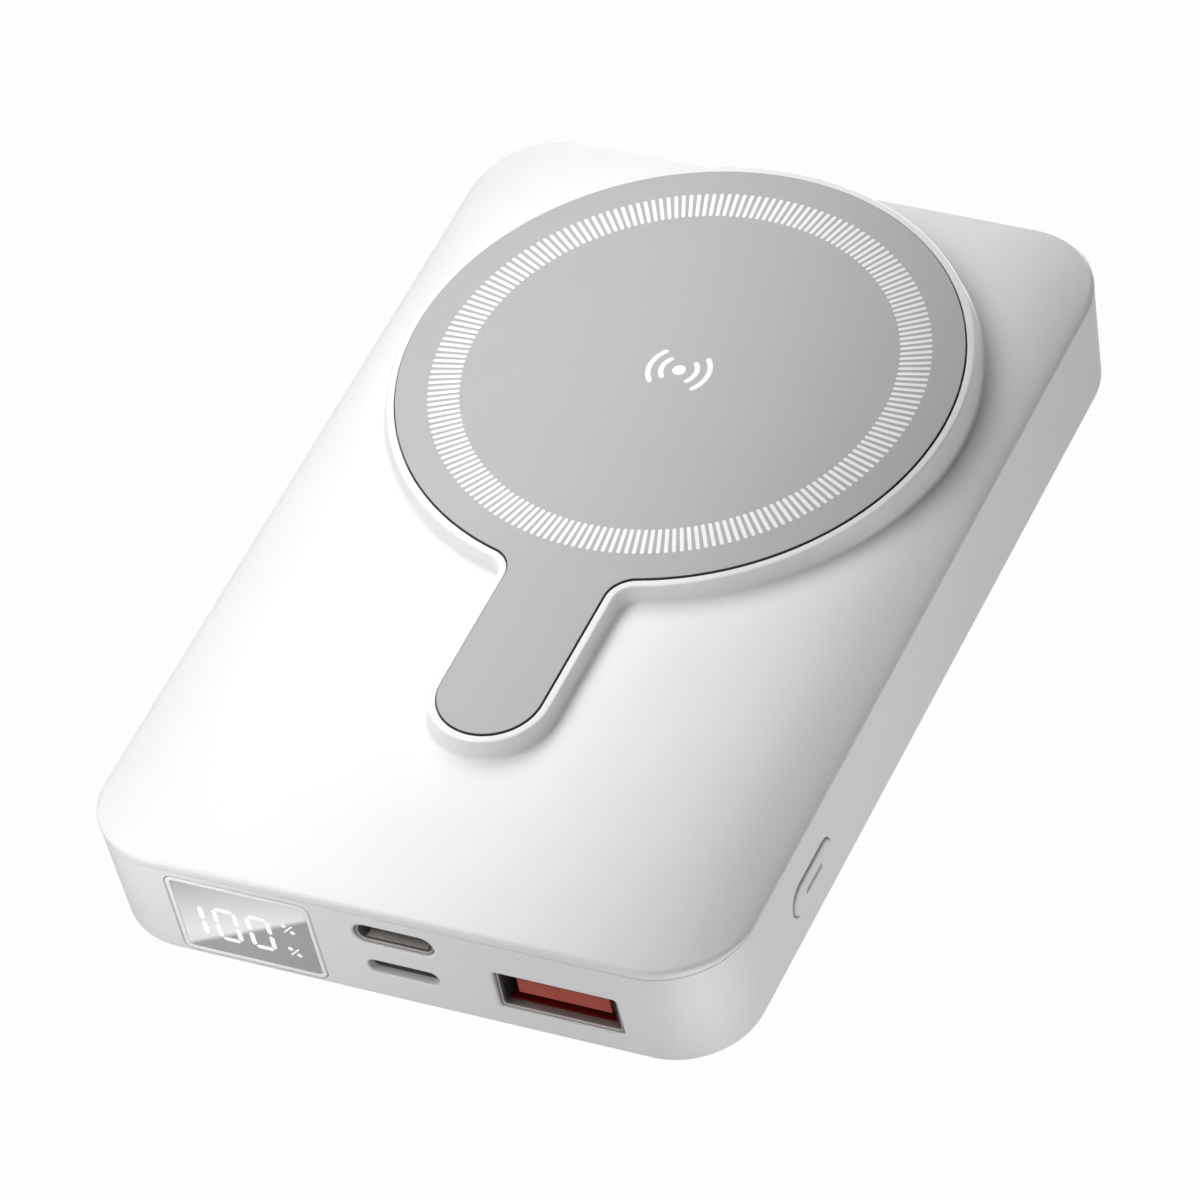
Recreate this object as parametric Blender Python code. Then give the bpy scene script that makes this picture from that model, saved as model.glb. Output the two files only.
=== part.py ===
"""A wireless power bank: housing, magnetic pad, sockets, display, push button and internals.

The origin is at the centre of the underside. +Z points up out of the pad, -Y out of the wall
with the sockets and +X out of the wall with the push button. Lengths are in metres.
"""

import math

import bmesh
import bpy
from mathutils import Vector

MM = 0.001

# Housing: a tub with drafted walls under a cover with a low crown
WIDTH = 74.5 * MM
LENGTH = 111.8 * MM
CORNER_RADIUS = 9.7 * MM
RIM_Z = 15.1 * MM  # height of the cover's edge in the middle of the front wall
SIDE_DROP = 0.7 * MM  # how much lower the cover's edge is along the side walls
CROWN = 1.5 * MM  # how much the cover rises from front and back to the middle
SIDE_SHOULDER = 8  # the higher, the closer to the side walls the crown stays up
END_SHOULDER = 5  # the same towards the front and back walls
DRAFT = 0.053  # inward lean of the walls, per unit of height below RIM_Z
FLOOR_RADIUS = 1.2 * MM
EDGE_RADIUS = 0.35 * MM
WALL = 1.8 * MM
FLOOR = 1.6 * MM
CEILING = 1.5 * MM
PARTING_Z = 13.9 * MM
PARTING_GAP = 0.1 * MM
LIP_DEPTH = 1.0 * MM
LIP_WALL = 0.9 * MM
FIT = 0.2 * MM  # clearance between pieces that are pressed or dropped in

# Keyhole pad on top
PAD_Y = 21.75 * MM
PAD_RADIUS = 31.06 * MM
TAIL_HALF_WIDTH = 5.8 * MM
TAIL_END_Y = -33.35 * MM
TAIL_FILLET = 3.4 * MM
PAD_TOP_Z = 19.0 * MM
PAD_THICKNESS = 0.8 * MM
ADHESIVE = 0.12 * MM
BOSS_TOP_Z = 18.85 * MM
POCKET_FLOOR_Z = 17.98 * MM
POCKET_FLOOR = 0.8 * MM

# Coil and magnets under the pad
MAGNET_COUNT = 16
MAGNET_INNER = 24.2 * MM
MAGNET_OUTER = 27.2 * MM
MAGNET_GAP_ANGLE = math.radians(26)  # the opening in the ring where the coil's ends leave
COIL_INNER = 9.0 * MM
COIL_OUTER = 21.6 * MM
STACK_TOP_Z = 16.95 * MM
TRAY_Z = 13.5 * MM
TRAY_THICKNESS = 0.8 * MM

# Cell
CELL_WIDTH = 65.0 * MM
CELL_FRONT_Y = -24.0 * MM
CELL_BACK_Y = 52.5 * MM
CELL_BOTTOM_Z = 2.0 * MM
CELL_TOP_Z = 12.6 * MM

# Main board
BOARD_Z = 7.5 * MM
BOARD_THICKNESS = 1.0 * MM
BOARD_HALF_WIDTH = 33.0 * MM
BOARD_FRONT_Y = -52.6 * MM
BOARD_BACK_Y = -27.0 * MM
SCREW_PLACES = ((-29.5 * MM, -36.0 * MM), (29.0 * MM, -46.5 * MM))

# Front wall: centres in X and Z, then opening sizes
USB_A_X, USB_A_Z = 18.05 * MM, 6.35 * MM
USB_A_OPENING = (14.1 * MM, 5.6 * MM)
USB_C_X, USB_C_Z = 0.1 * MM, 10.7 * MM
USB_C_OPENING = (9.3 * MM, 3.1 * MM)
INPUT_X, INPUT_Z = 0.2 * MM, 5.5 * MM
INPUT_OPENING = (8.2 * MM, 1.8 * MM)
WINDOW_X, WINDOW_Z = -17.8 * MM, 7.0 * MM
WINDOW_SIZE = (16.2 * MM, 11.4 * MM)
WINDOW_RADIUS = 1.1 * MM
WINDOW_THICKNESS = 1.2 * MM

# Right wall: push button
BUTTON_Y, BUTTON_Z = -32.4 * MM, 6.7 * MM
BUTTON_SIZE = (9.6 * MM, 4.0 * MM)
BUTTON_PROUD = 0.25 * MM
BUTTON_GAP = 0.15 * MM


# ---------------------------------------------------------------- materials


def material(name, colour, roughness, metallic=0.0):
    made = bpy.data.materials.new(name)
    made.use_nodes = True
    shader = made.node_tree.nodes["Principled BSDF"]
    shader.inputs["Base Color"].default_value = (*colour, 1.0)
    shader.inputs["Roughness"].default_value = roughness
    shader.inputs["Metallic"].default_value = metallic
    return made


# ---------------------------------------------------------------- outlines


def arc(centre, radius, start, end, steps):
    """Points on an arc, both ends included. Angles are in radians."""
    turn = (end - start) / steps
    angles = [start + turn * i for i in range(steps + 1)]
    return [(centre[0] + radius * math.cos(a), centre[1] + radius * math.sin(a)) for a in angles]


def split_side(start, end, parts):
    """Points inside a straight side, its ends left out."""
    points = []
    for i in range(1, parts):
        share = i / parts
        x = start[0] + (end[0] - start[0]) * share
        y = start[1] + (end[1] - start[1]) * share
        points.append((x, y))
    return points


def rounded_rectangle(half_x, half_y, radius, steps=6, parts_x=1, parts_y=1):
    """A counter-clockwise outline, its straight sides split into parts."""
    inner_x = half_x - radius
    inner_y = half_y - radius
    corners = ((inner_x, inner_y), (-inner_x, inner_y), (-inner_x, -inner_y), (inner_x, -inner_y))
    sides = (parts_x, parts_y, parts_x, parts_y)
    arcs = []
    for index, centre in enumerate(corners):
        start = math.pi / 2 * index
        arcs.append(arc(centre, radius, start, start + math.pi / 2, steps))
    outline = []
    for index, points in enumerate(arcs):
        outline += points
        outline += split_side(points[-1], arcs[(index + 1) % 4][0], sides[index])
    return outline


def stadium(length, height, steps=8):
    """A slot with round ends, its length along the first axis."""
    radius = height / 2
    reach = length / 2 - radius
    right = arc((reach, 0.0), radius, -math.pi / 2, math.pi / 2, steps)
    left = arc((-reach, 0.0), radius, math.pi / 2, 3 * math.pi / 2, steps)
    return right + left


def circle(radius, steps=32):
    return arc((0.0, 0.0), radius, 0.0, math.tau, steps)[:-1]


def keyhole(offset, ring_steps=56, fillet_steps=5, end_steps=12):
    """The pad's outline grown outwards by an offset: a disc with a round-ended tail towards -Y."""
    radius = PAD_RADIUS + offset
    half_width = TAIL_HALF_WIDTH + offset
    fillet = TAIL_FILLET - offset
    side = half_width + fillet
    drop = math.sqrt((radius + fillet) ** 2 - side**2)
    join = math.atan2(-drop, side)
    fillet_y = PAD_Y - drop
    end_y = TAIL_END_Y + TAIL_HALF_WIDTH
    ring = arc((0.0, PAD_Y), radius, join, math.pi - join, ring_steps)
    left = arc((-side, fillet_y), fillet, -join, 0.0, fillet_steps)
    end = arc((0.0, end_y), half_width, -math.pi, 0.0, end_steps)
    right = arc((side, fillet_y), fillet, math.pi, math.pi + join, fillet_steps)
    return ring + left[1:] + end + right[:-1]


# ---------------------------------------------------------------- solids


def add_object(name, mesh, look, cutter=False):
    made = bpy.data.objects.new(name, mesh)
    bpy.context.scene.collection.objects.link(made)
    if cutter:
        made.hide_render = True
        made.display_type = "WIRE"
    else:
        mesh.materials.append(look)
    return made


def mesh_of(name, bm):
    bmesh.ops.recalc_face_normals(bm, faces=bm.faces)
    mesh = bpy.data.meshes.new(name)
    bm.to_mesh(mesh)
    bm.free()
    mesh.shade_smooth()
    mesh.set_sharp_from_angle(angle=math.radians(35))
    return mesh


def loft(name, rings, look=None, cutter=False):
    """A closed solid through rings of equally many points, capped at both ends."""
    bm = bmesh.new()
    loops = [[bm.verts.new(point) for point in ring] for ring in rings]
    count = len(loops[0])
    for lower, upper in zip(loops, loops[1:]):
        for i in range(count):
            j = (i + 1) % count
            bm.faces.new((lower[i], lower[j], upper[j], upper[i]))
    bm.faces.new(reversed(loops[0]))
    bm.faces.new(loops[-1])
    return add_object(name, mesh_of(name, bm), look, cutter)


def prism(name, outline, bottom, top, look=None, cutter=False):
    """An outline in XY, extruded from one height to another."""
    rings = [[(x, y, z) for x, y in outline] for z in (bottom, top)]
    return loft(name, rings, look, cutter)


def prism_y(name, outline, centre, front, back, look=None, cutter=False):
    """An outline in XZ about a centre, extruded along Y."""
    rings = [[(centre[0] + x, y, centre[1] + z) for x, z in outline] for y in (front, back)]
    return loft(name, rings, look, cutter)


def prism_x(name, outline, centre, inner, outer, look=None, cutter=False):
    """An outline in YZ about a centre, extruded along X."""
    rings = [[(x, centre[0] + y, centre[1] + z) for y, z in outline] for x in (inner, outer)]
    return loft(name, rings, look, cutter)


def box(name, low, high, look=None, cutter=False, bevel=0.0):
    outline = [(low[0], low[1]), (high[0], low[1]), (high[0], high[1]), (low[0], high[1])]
    made = prism(name, outline, low[2], high[2], look, cutter)
    if bevel:
        rounding = made.modifiers.new("round edges", "BEVEL")
        rounding.width = bevel
        rounding.segments = 2
    return made


def boolean(target, other, operation):
    step = target.modifiers.new(f"{operation.lower()} {other.name}", "BOOLEAN")
    step.operation = operation
    step.object = other


def cut(target, *cutters):
    for cutter in cutters:
        boolean(target, cutter, "DIFFERENCE")


def join(target, *others):
    for other in others:
        boolean(target, other, "UNION")


def tube(name, points, radius, look):
    """A round wire along a smooth curve through a few points."""
    curve = bpy.data.curves.new(name, "CURVE")
    curve.dimensions = "3D"
    curve.bevel_depth = radius
    curve.bevel_resolution = 1
    curve.use_fill_caps = True
    line = curve.splines.new("POLY")
    samples = smooth_through(points)
    line.points.add(len(samples) - 1)
    for spot, place in zip(line.points, samples):
        spot.co = (*place, 1.0)
    return add_object(name, curve, look)


def smooth_through(points, per_span=4):
    """Catmull-Rom samples through the points."""
    knots = [Vector(p) for p in points]
    knots = [2 * knots[0] - knots[1], *knots, 2 * knots[-1] - knots[-2]]
    samples = []
    for a, b, c, d in zip(knots, knots[1:], knots[2:], knots[3:]):
        for i in range(per_span):
            t = i / per_span
            bend = (2 * a - 5 * b + 4 * c - d) * t**2 + (3 * b - a - 3 * c + d) * t**3
            samples.append(b + ((c - a) * t + bend) / 2)
    return [*samples, knots[-2]]


# ---------------------------------------------------------------- housing shape


def body_outline(inset):
    """The body's plan outline at the cover's edge, moved inwards."""
    radius = max(CORNER_RADIUS - inset, 0.8 * MM)
    half_x = WIDTH / 2 - inset
    half_y = LENGTH / 2 - inset
    return rounded_rectangle(half_x, half_y, radius, steps=6, parts_x=6, parts_y=8)


def lean(z):
    """How far the drafted wall has come in at a height."""
    return DRAFT * (RIM_Z - z)


def crown_z(x, y):
    """Height of the cover's top surface."""
    across = 1.0 - (abs(x) / (WIDTH / 2)) ** SIDE_SHOULDER
    along = 1.0 - (abs(y) / (LENGTH / 2)) ** END_SHOULDER
    return RIM_Z - SIDE_DROP + (SIDE_DROP + CROWN * along) * across


def level_ring(inset, z):
    return [(x, y, z) for x, y in body_outline(inset)]


def crown_ring(inset, drop=0.0):
    """A ring on the cover's top surface, or a constant depth under it."""
    return [(x, y, crown_z(x, y) - drop) for x, y in body_outline(inset)]


def front_y(z):
    """The outer face of the front wall at a height."""
    return -LENGTH / 2 + lean(z)


def right_x(z):
    """The outer face of the right wall at a height."""
    return WIDTH / 2 - lean(z)


# ---------------------------------------------------------------- housing


def make_top_cover(look):
    lip_top = WALL + FIT
    outer = [
        level_ring(lip_top, PARTING_Z - LIP_DEPTH),
        level_ring(lip_top, PARTING_Z),
        level_ring(lean(PARTING_Z), PARTING_Z),
        crown_ring(0.0, EDGE_RADIUS),
        crown_ring(EDGE_RADIUS * 0.3, EDGE_RADIUS * 0.3),
        crown_ring(EDGE_RADIUS),
    ]
    outer += [crown_ring(inset * MM) for inset in (1.5, 3.5, 6.5, 10.5, 16, 22, 28, 34)]
    cover = loft("top_cover", outer, look)

    boss_rings = [
        [(x, y, 15.0 * MM) for x, y in keyhole(1.6 * MM)],
        [(x, y, 16.6 * MM) for x, y in keyhole(1.35 * MM)],
        [(x, y, BOSS_TOP_Z - 0.2 * MM) for x, y in keyhole(1.0 * MM)],
        [(x, y, BOSS_TOP_Z) for x, y in keyhole(0.8 * MM)],
    ]
    boss = loft("boss_shape", boss_rings, cutter=True)
    pocket = prism("pad_pocket", keyhole(FIT), POCKET_FLOOR_Z, 21 * MM, cutter=True)

    inner_wall = lip_top + LIP_WALL
    hollow_rings = [
        level_ring(inner_wall, 12.0 * MM),
        crown_ring(inner_wall, CEILING + 0.6 * MM),
        crown_ring(inner_wall + 1.0 * MM, CEILING),
        crown_ring(10 * MM, CEILING),
        crown_ring(22 * MM, CEILING),
        crown_ring(34 * MM, CEILING),
    ]
    hollow = loft("cover_hollow", hollow_rings, cutter=True)
    boss_hollow = prism(
        "boss_hollow",
        keyhole(-1.8 * MM, ring_steps=40),
        13.0 * MM,
        POCKET_FLOOR_Z - POCKET_FLOOR,
        cutter=True,
    )
    join(cover, boss)
    cut(cover, pocket, hollow, boss_hollow)
    return cover


def make_bottom_shell(look):
    rings = []
    steps = 4
    for i in range(steps + 1):
        turn = math.pi / 2 * i / steps
        z = FLOOR_RADIUS * (1 - math.cos(turn))
        rings.append(level_ring(lean(z) + FLOOR_RADIUS * (1 - math.sin(turn)), z))
    seam_z = PARTING_Z - PARTING_GAP
    rings.append(level_ring(lean(seam_z), seam_z))
    shell = loft("bottom_shell", rings, look)

    wall_bottom = lean(FLOOR) + WALL - 0.05 * MM
    hollow_rings = [
        level_ring(wall_bottom + 0.8 * MM, FLOOR),
        level_ring(wall_bottom, FLOOR + 0.8 * MM),
        level_ring(WALL, PARTING_Z - LIP_DEPTH - 0.4 * MM),
        level_ring(WALL, PARTING_Z + 1 * MM),
    ]
    hollow = loft("shell_hollow", hollow_rings, cutter=True)
    cut(shell, hollow)

    for index, (x, y) in enumerate(SCREW_PLACES, 1):
        ring = [(x + px, y + py) for px, py in circle(2.3 * MM, 20)]
        hole = [(x + px, y + py) for px, py in circle(0.95 * MM, 12)]
        post = prism(f"post_{index}", ring, FLOOR / 2, BOARD_Z - FIT, cutter=True)
        bore = prism(f"post_bore_{index}", hole, FLOOR + 0.9 * MM, BOARD_Z + 1 * MM, cutter=True)
        join(shell, post)
        cut(shell, bore)
    for index, x in enumerate((-21 * MM, 21 * MM), 1):
        low = (x - 6 * MM, CELL_FRONT_Y - 1.3 * MM, FLOOR / 2)
        high = (x + 6 * MM, CELL_FRONT_Y - 0.4 * MM, 5.6 * MM)
        rib = box(f"cell_rib_{index}", low, high, cutter=True)
        join(shell, rib)

    outside = -LENGTH / 2 - 1 * MM
    inside = -LENGTH / 2 + lean(FLOOR) + WALL + 0.6 * MM
    window = rounded_rectangle(
        WINDOW_SIZE[0] / 2 + BUTTON_GAP, WINDOW_SIZE[1] / 2 + BUTTON_GAP, WINDOW_RADIUS, 4
    )
    slots = (
        ("window_opening", window, WINDOW_X, WINDOW_Z),
        ("usb_c_opening", stadium(*USB_C_OPENING), USB_C_X, USB_C_Z),
        ("input_opening", stadium(*INPUT_OPENING), INPUT_X, INPUT_Z),
        ("usb_a_opening", usb_a_outline(0.0), USB_A_X, USB_A_Z),
    )
    for name, outline, x, z in slots:
        cut(shell, prism_y(name, outline, (x, z), outside, inside, cutter=True))
    button_hole = stadium(BUTTON_SIZE[0] + 2 * BUTTON_GAP, BUTTON_SIZE[1] + 2 * BUTTON_GAP)
    place = (BUTTON_Y, BUTTON_Z)
    cut(
        shell,
        prism_x("button_opening", button_hole, place, 34 * MM, WIDTH / 2 + 1 * MM, cutter=True),
    )
    return shell


# ---------------------------------------------------------------- pad, coil and magnets


def make_pad(look_plate, look_adhesive):
    bottom = PAD_TOP_Z - PAD_THICKNESS
    bevel = 0.15 * MM
    rings = [
        [(x, y, bottom) for x, y in keyhole(0.0)],
        [(x, y, PAD_TOP_Z - bevel) for x, y in keyhole(0.0)],
        [(x, y, PAD_TOP_Z) for x, y in keyhole(-bevel)],
    ]
    loft("charging_pad", rings, look_plate)
    film = keyhole(-1.0 * MM, ring_steps=40)
    base = POCKET_FLOOR_Z + 0.05 * MM
    prism("pad_adhesive", film, base, base + ADHESIVE, look_adhesive)


def ring_sector(inner, outer, start, end, steps):
    """The outline of part of a flat ring about the pad's centre."""
    centre = (0.0, PAD_Y)
    return arc(centre, outer, start, end, steps) + arc(centre, inner, end, start, steps)


def make_coil_stack(looks):
    gap_middle = -math.pi / 2
    start = gap_middle + MAGNET_GAP_ANGLE / 2
    pitch = (math.tau - MAGNET_GAP_ANGLE) / MAGNET_COUNT
    spacing = FIT / MAGNET_OUTER
    magnet_bottom = STACK_TOP_Z - 2.0 * MM
    for index in range(MAGNET_COUNT):
        first = start + pitch * index + spacing / 2
        sector = ring_sector(MAGNET_INNER, MAGNET_OUTER, first, first + pitch - spacing, 4)
        name = f"magnet_{index + 1:02d}"
        prism(name, sector, magnet_bottom, STACK_TOP_Z, looks["magnet"])

    end = start + pitch * MAGNET_COUNT
    keeper_top = magnet_bottom - 0.1 * MM
    keeper = ring_sector(23.9 * MM, 27.4 * MM, start, end, 40)
    keeper_bottom = TRAY_Z + TRAY_THICKNESS + 0.1 * MM
    prism("magnet_keeper", keeper, keeper_bottom, keeper_top, looks["steel"])

    coil_bottom = STACK_TOP_Z - 1.3 * MM
    make_coil(looks["copper"], coil_bottom)
    ferrite = [(x, y + PAD_Y) for x, y in circle(22.2 * MM, 40)]
    prism("ferrite_sheet", ferrite, coil_bottom - 0.8 * MM, coil_bottom - 0.1 * MM, looks["ferrite"])

    bar_low = (-2.4 * MM, -23.0 * MM, magnet_bottom)
    bar_high = (2.4 * MM, -8.5 * MM, STACK_TOP_Z)
    box("alignment_magnet", bar_low, bar_high, looks["magnet"])
    make_tray(looks["tray"], start, end)
    shield_low = (-30.5 * MM, -23.0 * MM)
    shield_high = (30.5 * MM, 51.0 * MM)
    outline = rounded_rectangle(
        (shield_high[0] - shield_low[0]) / 2, (shield_high[1] - shield_low[1]) / 2, 4 * MM, 4
    )
    middle_y = (shield_low[1] + shield_high[1]) / 2
    outline = [(x, y + middle_y) for x, y in outline]
    prism("heat_shield", outline, 12.85 * MM, 13.15 * MM, looks["aluminium"])


def make_coil(look, bottom):
    """The wound coil as one flat ring, its turns bonded together."""
    bm = bmesh.new()
    top = bottom + 1.3 * MM
    round_off = 0.25 * MM
    profile = (
        (COIL_INNER, bottom),
        (COIL_OUTER, bottom),
        (COIL_OUTER, top - round_off),
        (COIL_OUTER - round_off, top),
        (COIL_INNER + round_off, top),
        (COIL_INNER, top - round_off),
    )
    steps = 40
    loops = []
    for i in range(steps):
        angle = math.tau * i / steps
        ray = (math.cos(angle), math.sin(angle))
        loops.append([bm.verts.new((ray[0] * r, PAD_Y + ray[1] * r, z)) for r, z in profile])
    for i in range(steps):
        near = loops[i]
        far = loops[(i + 1) % steps]
        for j in range(len(profile)):
            k = (j + 1) % len(profile)
            bm.faces.new((near[j], near[k], far[k], far[j]))
    add_object("charging_coil", mesh_of("charging_coil", bm), look)


def make_tray(look, start, end):
    """A keyhole tray with a locating wall outside the magnets and one inside them."""
    top = TRAY_Z + TRAY_THICKNESS
    plate = keyhole(-2.2 * MM, ring_steps=40, fillet_steps=3, end_steps=8)
    cropped = [(x, max(y, -23.5 * MM)) for x, y in plate]
    tray = prism("coil_tray", remove_doubles(cropped), TRAY_Z, top, look)
    outer = ring_sector(27.6 * MM, 28.4 * MM, start, end, 40)
    inner = ring_sector(22.6 * MM, 23.6 * MM, start, end, 40)
    wall_top = STACK_TOP_Z - 0.6 * MM
    outer_wall = prism("tray_outer_wall", outer, TRAY_Z + 0.3 * MM, wall_top, cutter=True)
    inner_wall = prism("tray_inner_wall", inner, TRAY_Z + 0.3 * MM, wall_top, cutter=True)
    join(tray, outer_wall, inner_wall)


def remove_doubles(outline):
    """The outline without points that repeat the one before."""
    kept = []
    for point in outline:
        if not kept or math.dist(point, kept[-1]) > 0.05 * MM:
            kept.append(point)
    return kept


def make_coil_leads(look):
    for index, side in enumerate((-1, 1), 1):
        points = (
            (side * 1.4 * MM, -0.4 * MM, 16.2 * MM),
            (side * 1.8 * MM, -2.4 * MM, 15.4 * MM),
            (side * 3.1 * MM, -7.0 * MM, 15.1 * MM),
            (side * 3.2 * MM, -15.0 * MM, 15.1 * MM),
            (side * 3.2 * MM, -22.5 * MM, 15.1 * MM),
            (side * 3.6 * MM, -26.5 * MM, 13.8 * MM),
            (side * 5.0 * MM, -29.5 * MM, 10.6 * MM),
            (side * 6.0 * MM, -30.5 * MM, 9.0 * MM),
        )
        tube(f"coil_lead_{index}", points, 0.35 * MM, look)


# ---------------------------------------------------------------- cell and board


def make_cell(looks):
    middle = (CELL_FRONT_Y + CELL_BACK_Y) / 2
    half_y = (CELL_BACK_Y - CELL_FRONT_Y) / 2
    flat = 1.6 * MM
    rings = []
    for inset, z in (
        (flat, CELL_BOTTOM_Z),
        (0.4 * MM, CELL_BOTTOM_Z + 0.7 * MM),
        (0.0, CELL_BOTTOM_Z + 2.2 * MM),
        (0.0, CELL_TOP_Z - 2.2 * MM),
        (0.4 * MM, CELL_TOP_Z - 0.7 * MM),
        (flat, CELL_TOP_Z),
    ):
        outline = rounded_rectangle(CELL_WIDTH / 2 - inset, half_y - inset, 3 * MM - inset, 3)
        rings.append([(x, y + middle, z) for x, y in outline])
    loft("battery_cell", rings, looks["pouch"])
    tape_low = (-25 * MM, -15 * MM, FLOOR + 0.05 * MM)
    tape_high = (25 * MM, 43 * MM, CELL_BOTTOM_Z - 0.1 * MM)
    box("battery_tape", tape_low, tape_high, looks["tape"])
    top = BOARD_Z + BOARD_THICKNESS
    for name, x in (("battery_tab_positive", 11 * MM), ("battery_tab_negative", -11 * MM)):
        low = (x - 2 * MM, -30.0 * MM, top + 0.2 * MM)
        high = (x + 2 * MM, CELL_FRONT_Y - 0.2 * MM, top + 0.4 * MM)
        box(name, low, high, looks["nickel"])
    bead_low = (-1.2 * MM, CELL_FRONT_Y - 1.6 * MM, 10.2 * MM)
    bead_high = (1.2 * MM, CELL_FRONT_Y - 0.2 * MM, 11.8 * MM)
    box("thermistor", bead_low, bead_high, looks["chip"], bevel=0.3 * MM)
    lead = (
        (0.0, CELL_FRONT_Y - 1.8 * MM, 11.0 * MM),
        (0.3 * MM, CELL_FRONT_Y - 4.0 * MM, 10.6 * MM),
        (1.0 * MM, CELL_FRONT_Y - 6.2 * MM, 9.0 * MM),
    )
    tube("thermistor_lead", lead, 0.3 * MM, looks["lead"])


def make_board(looks):
    low = (-BOARD_HALF_WIDTH, BOARD_FRONT_Y, BOARD_Z)
    high = (BOARD_HALF_WIDTH, BOARD_BACK_Y, BOARD_Z + BOARD_THICKNESS)
    board = box("main_board", low, high, looks["board"])
    below = BOARD_Z - 1 * MM
    above = BOARD_Z + 2 * MM
    notches = (
        ("usb_a_notch", (USB_A_X - 7.45 * MM, -60 * MM), (USB_A_X + 7.45 * MM, -40.4 * MM)),
        ("display_notch", (-27.0 * MM, -60 * MM), (-8.6 * MM, -50.0 * MM)),
        ("left_corner", (-40 * MM, -60 * MM), (-28.5 * MM, -48.5 * MM)),
        ("right_corner", (30.5 * MM, -60 * MM), (40 * MM, -48.5 * MM)),
    )
    for name, near, far in notches:
        cut(board, box(name, (*near, below), (*far, above), cutter=True))
    for index, (x, y) in enumerate(SCREW_PLACES, 1):
        ring = [(x + px, y + py) for px, py in circle(1.15 * MM, 16)]
        cut(board, prism(f"board_hole_{index}", ring, below, above, cutter=True))
        make_screw(f"board_screw_{index}", x, y, looks["steel"])


def make_screw(name, x, y, look):
    head_base = BOARD_Z + BOARD_THICKNESS + 0.1 * MM
    rings = []
    for radius, z in (
        (0.45 * MM, FLOOR + 1.4 * MM),
        (0.75 * MM, FLOOR + 2.0 * MM),
        (0.75 * MM, head_base),
        (1.6 * MM, head_base),
        (1.6 * MM, head_base + 0.5 * MM),
        (1.1 * MM, head_base + 0.9 * MM),
    ):
        rings.append([(x + px, y + py, z) for px, py in circle(radius, 16)])
    screw = loft(name, rings, look)
    for tag, half_x, half_y in (("a", 0.75 * MM, 0.15 * MM), ("b", 0.15 * MM, 0.75 * MM)):
        low = (x - half_x, y - half_y, head_base + 0.45 * MM)
        high = (x + half_x, y + half_y, head_base + 2 * MM)
        cut(screw, box(f"{name}_recess_{tag}", low, high, cutter=True))


def make_components(looks):
    top = BOARD_Z + BOARD_THICKNESS + 0.1 * MM
    parts = (
        ("controller_chip", (-3.0, -37.5), (5.0, 5.0, 0.9), "chip"),
        ("wireless_chip", (-18.5, -36.0), (6.0, 6.0, 0.9), "chip"),
        ("power_inductor", (-14.0, -44.5), (7.0, 7.0, 3.0), "inductor"),
        ("wireless_inductor", (17.5, -34.5), (6.5, 6.5, 2.8), "inductor"),
    )
    for name, place, size, look in parts:
        half = [value / 2 for value in size]
        low = ((place[0] - half[0]) * MM, (place[1] - half[1]) * MM, top)
        high = ((place[0] + half[0]) * MM, (place[1] + half[1]) * MM, top + size[2] * MM)
        box(name, low, high, looks[look], bevel=0.3 * MM)
    for name, x, y in (("capacitor_1", -27.0, -44.0), ("capacitor_2", 26.5, -36.5)):
        outline = [(x * MM + px, y * MM + py) for px, py in circle(2.5 * MM, 20)]
        prism(name, outline, top, top + 3.8 * MM, looks["aluminium"])


# ---------------------------------------------------------------- sockets and display


def usb_a_outline(inset):
    half_x = USB_A_OPENING[0] / 2 - inset
    half_z = USB_A_OPENING[1] / 2 - inset
    return rounded_rectangle(half_x, half_z, 0.45 * MM, 3)


def make_socket_shell(name, outer, inner, centre, front, back, look):
    """A metal sleeve, closed at the back and open at the front."""
    shell = prism_y(name, outer, centre, front, back, look)
    bore = prism_y(f"{name}_bore", inner, centre, front - 1 * MM, back - 0.3 * MM, cutter=True)
    cut(shell, bore)


def make_tongue(name, centre, block, blade, front, back, look):
    """An insulating block at the back of a socket with a blade that reaches forwards."""
    block_front = back - 2.2 * MM
    half_x, half_z = block[0] / 2, block[1] / 2
    low = (centre[0] - half_x, block_front, centre[1] - half_z)
    high = (centre[0] + half_x, back, centre[1] + half_z)
    tongue = box(name, low, high, look)
    width, height, lift = blade
    low = (centre[0] - width / 2, front, centre[1] + lift - height / 2)
    high = (centre[0] + width / 2, block_front + 0.5 * MM, centre[1] + lift + height / 2)
    join(tongue, box(f"{name}_blade", low, high, cutter=True))


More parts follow.
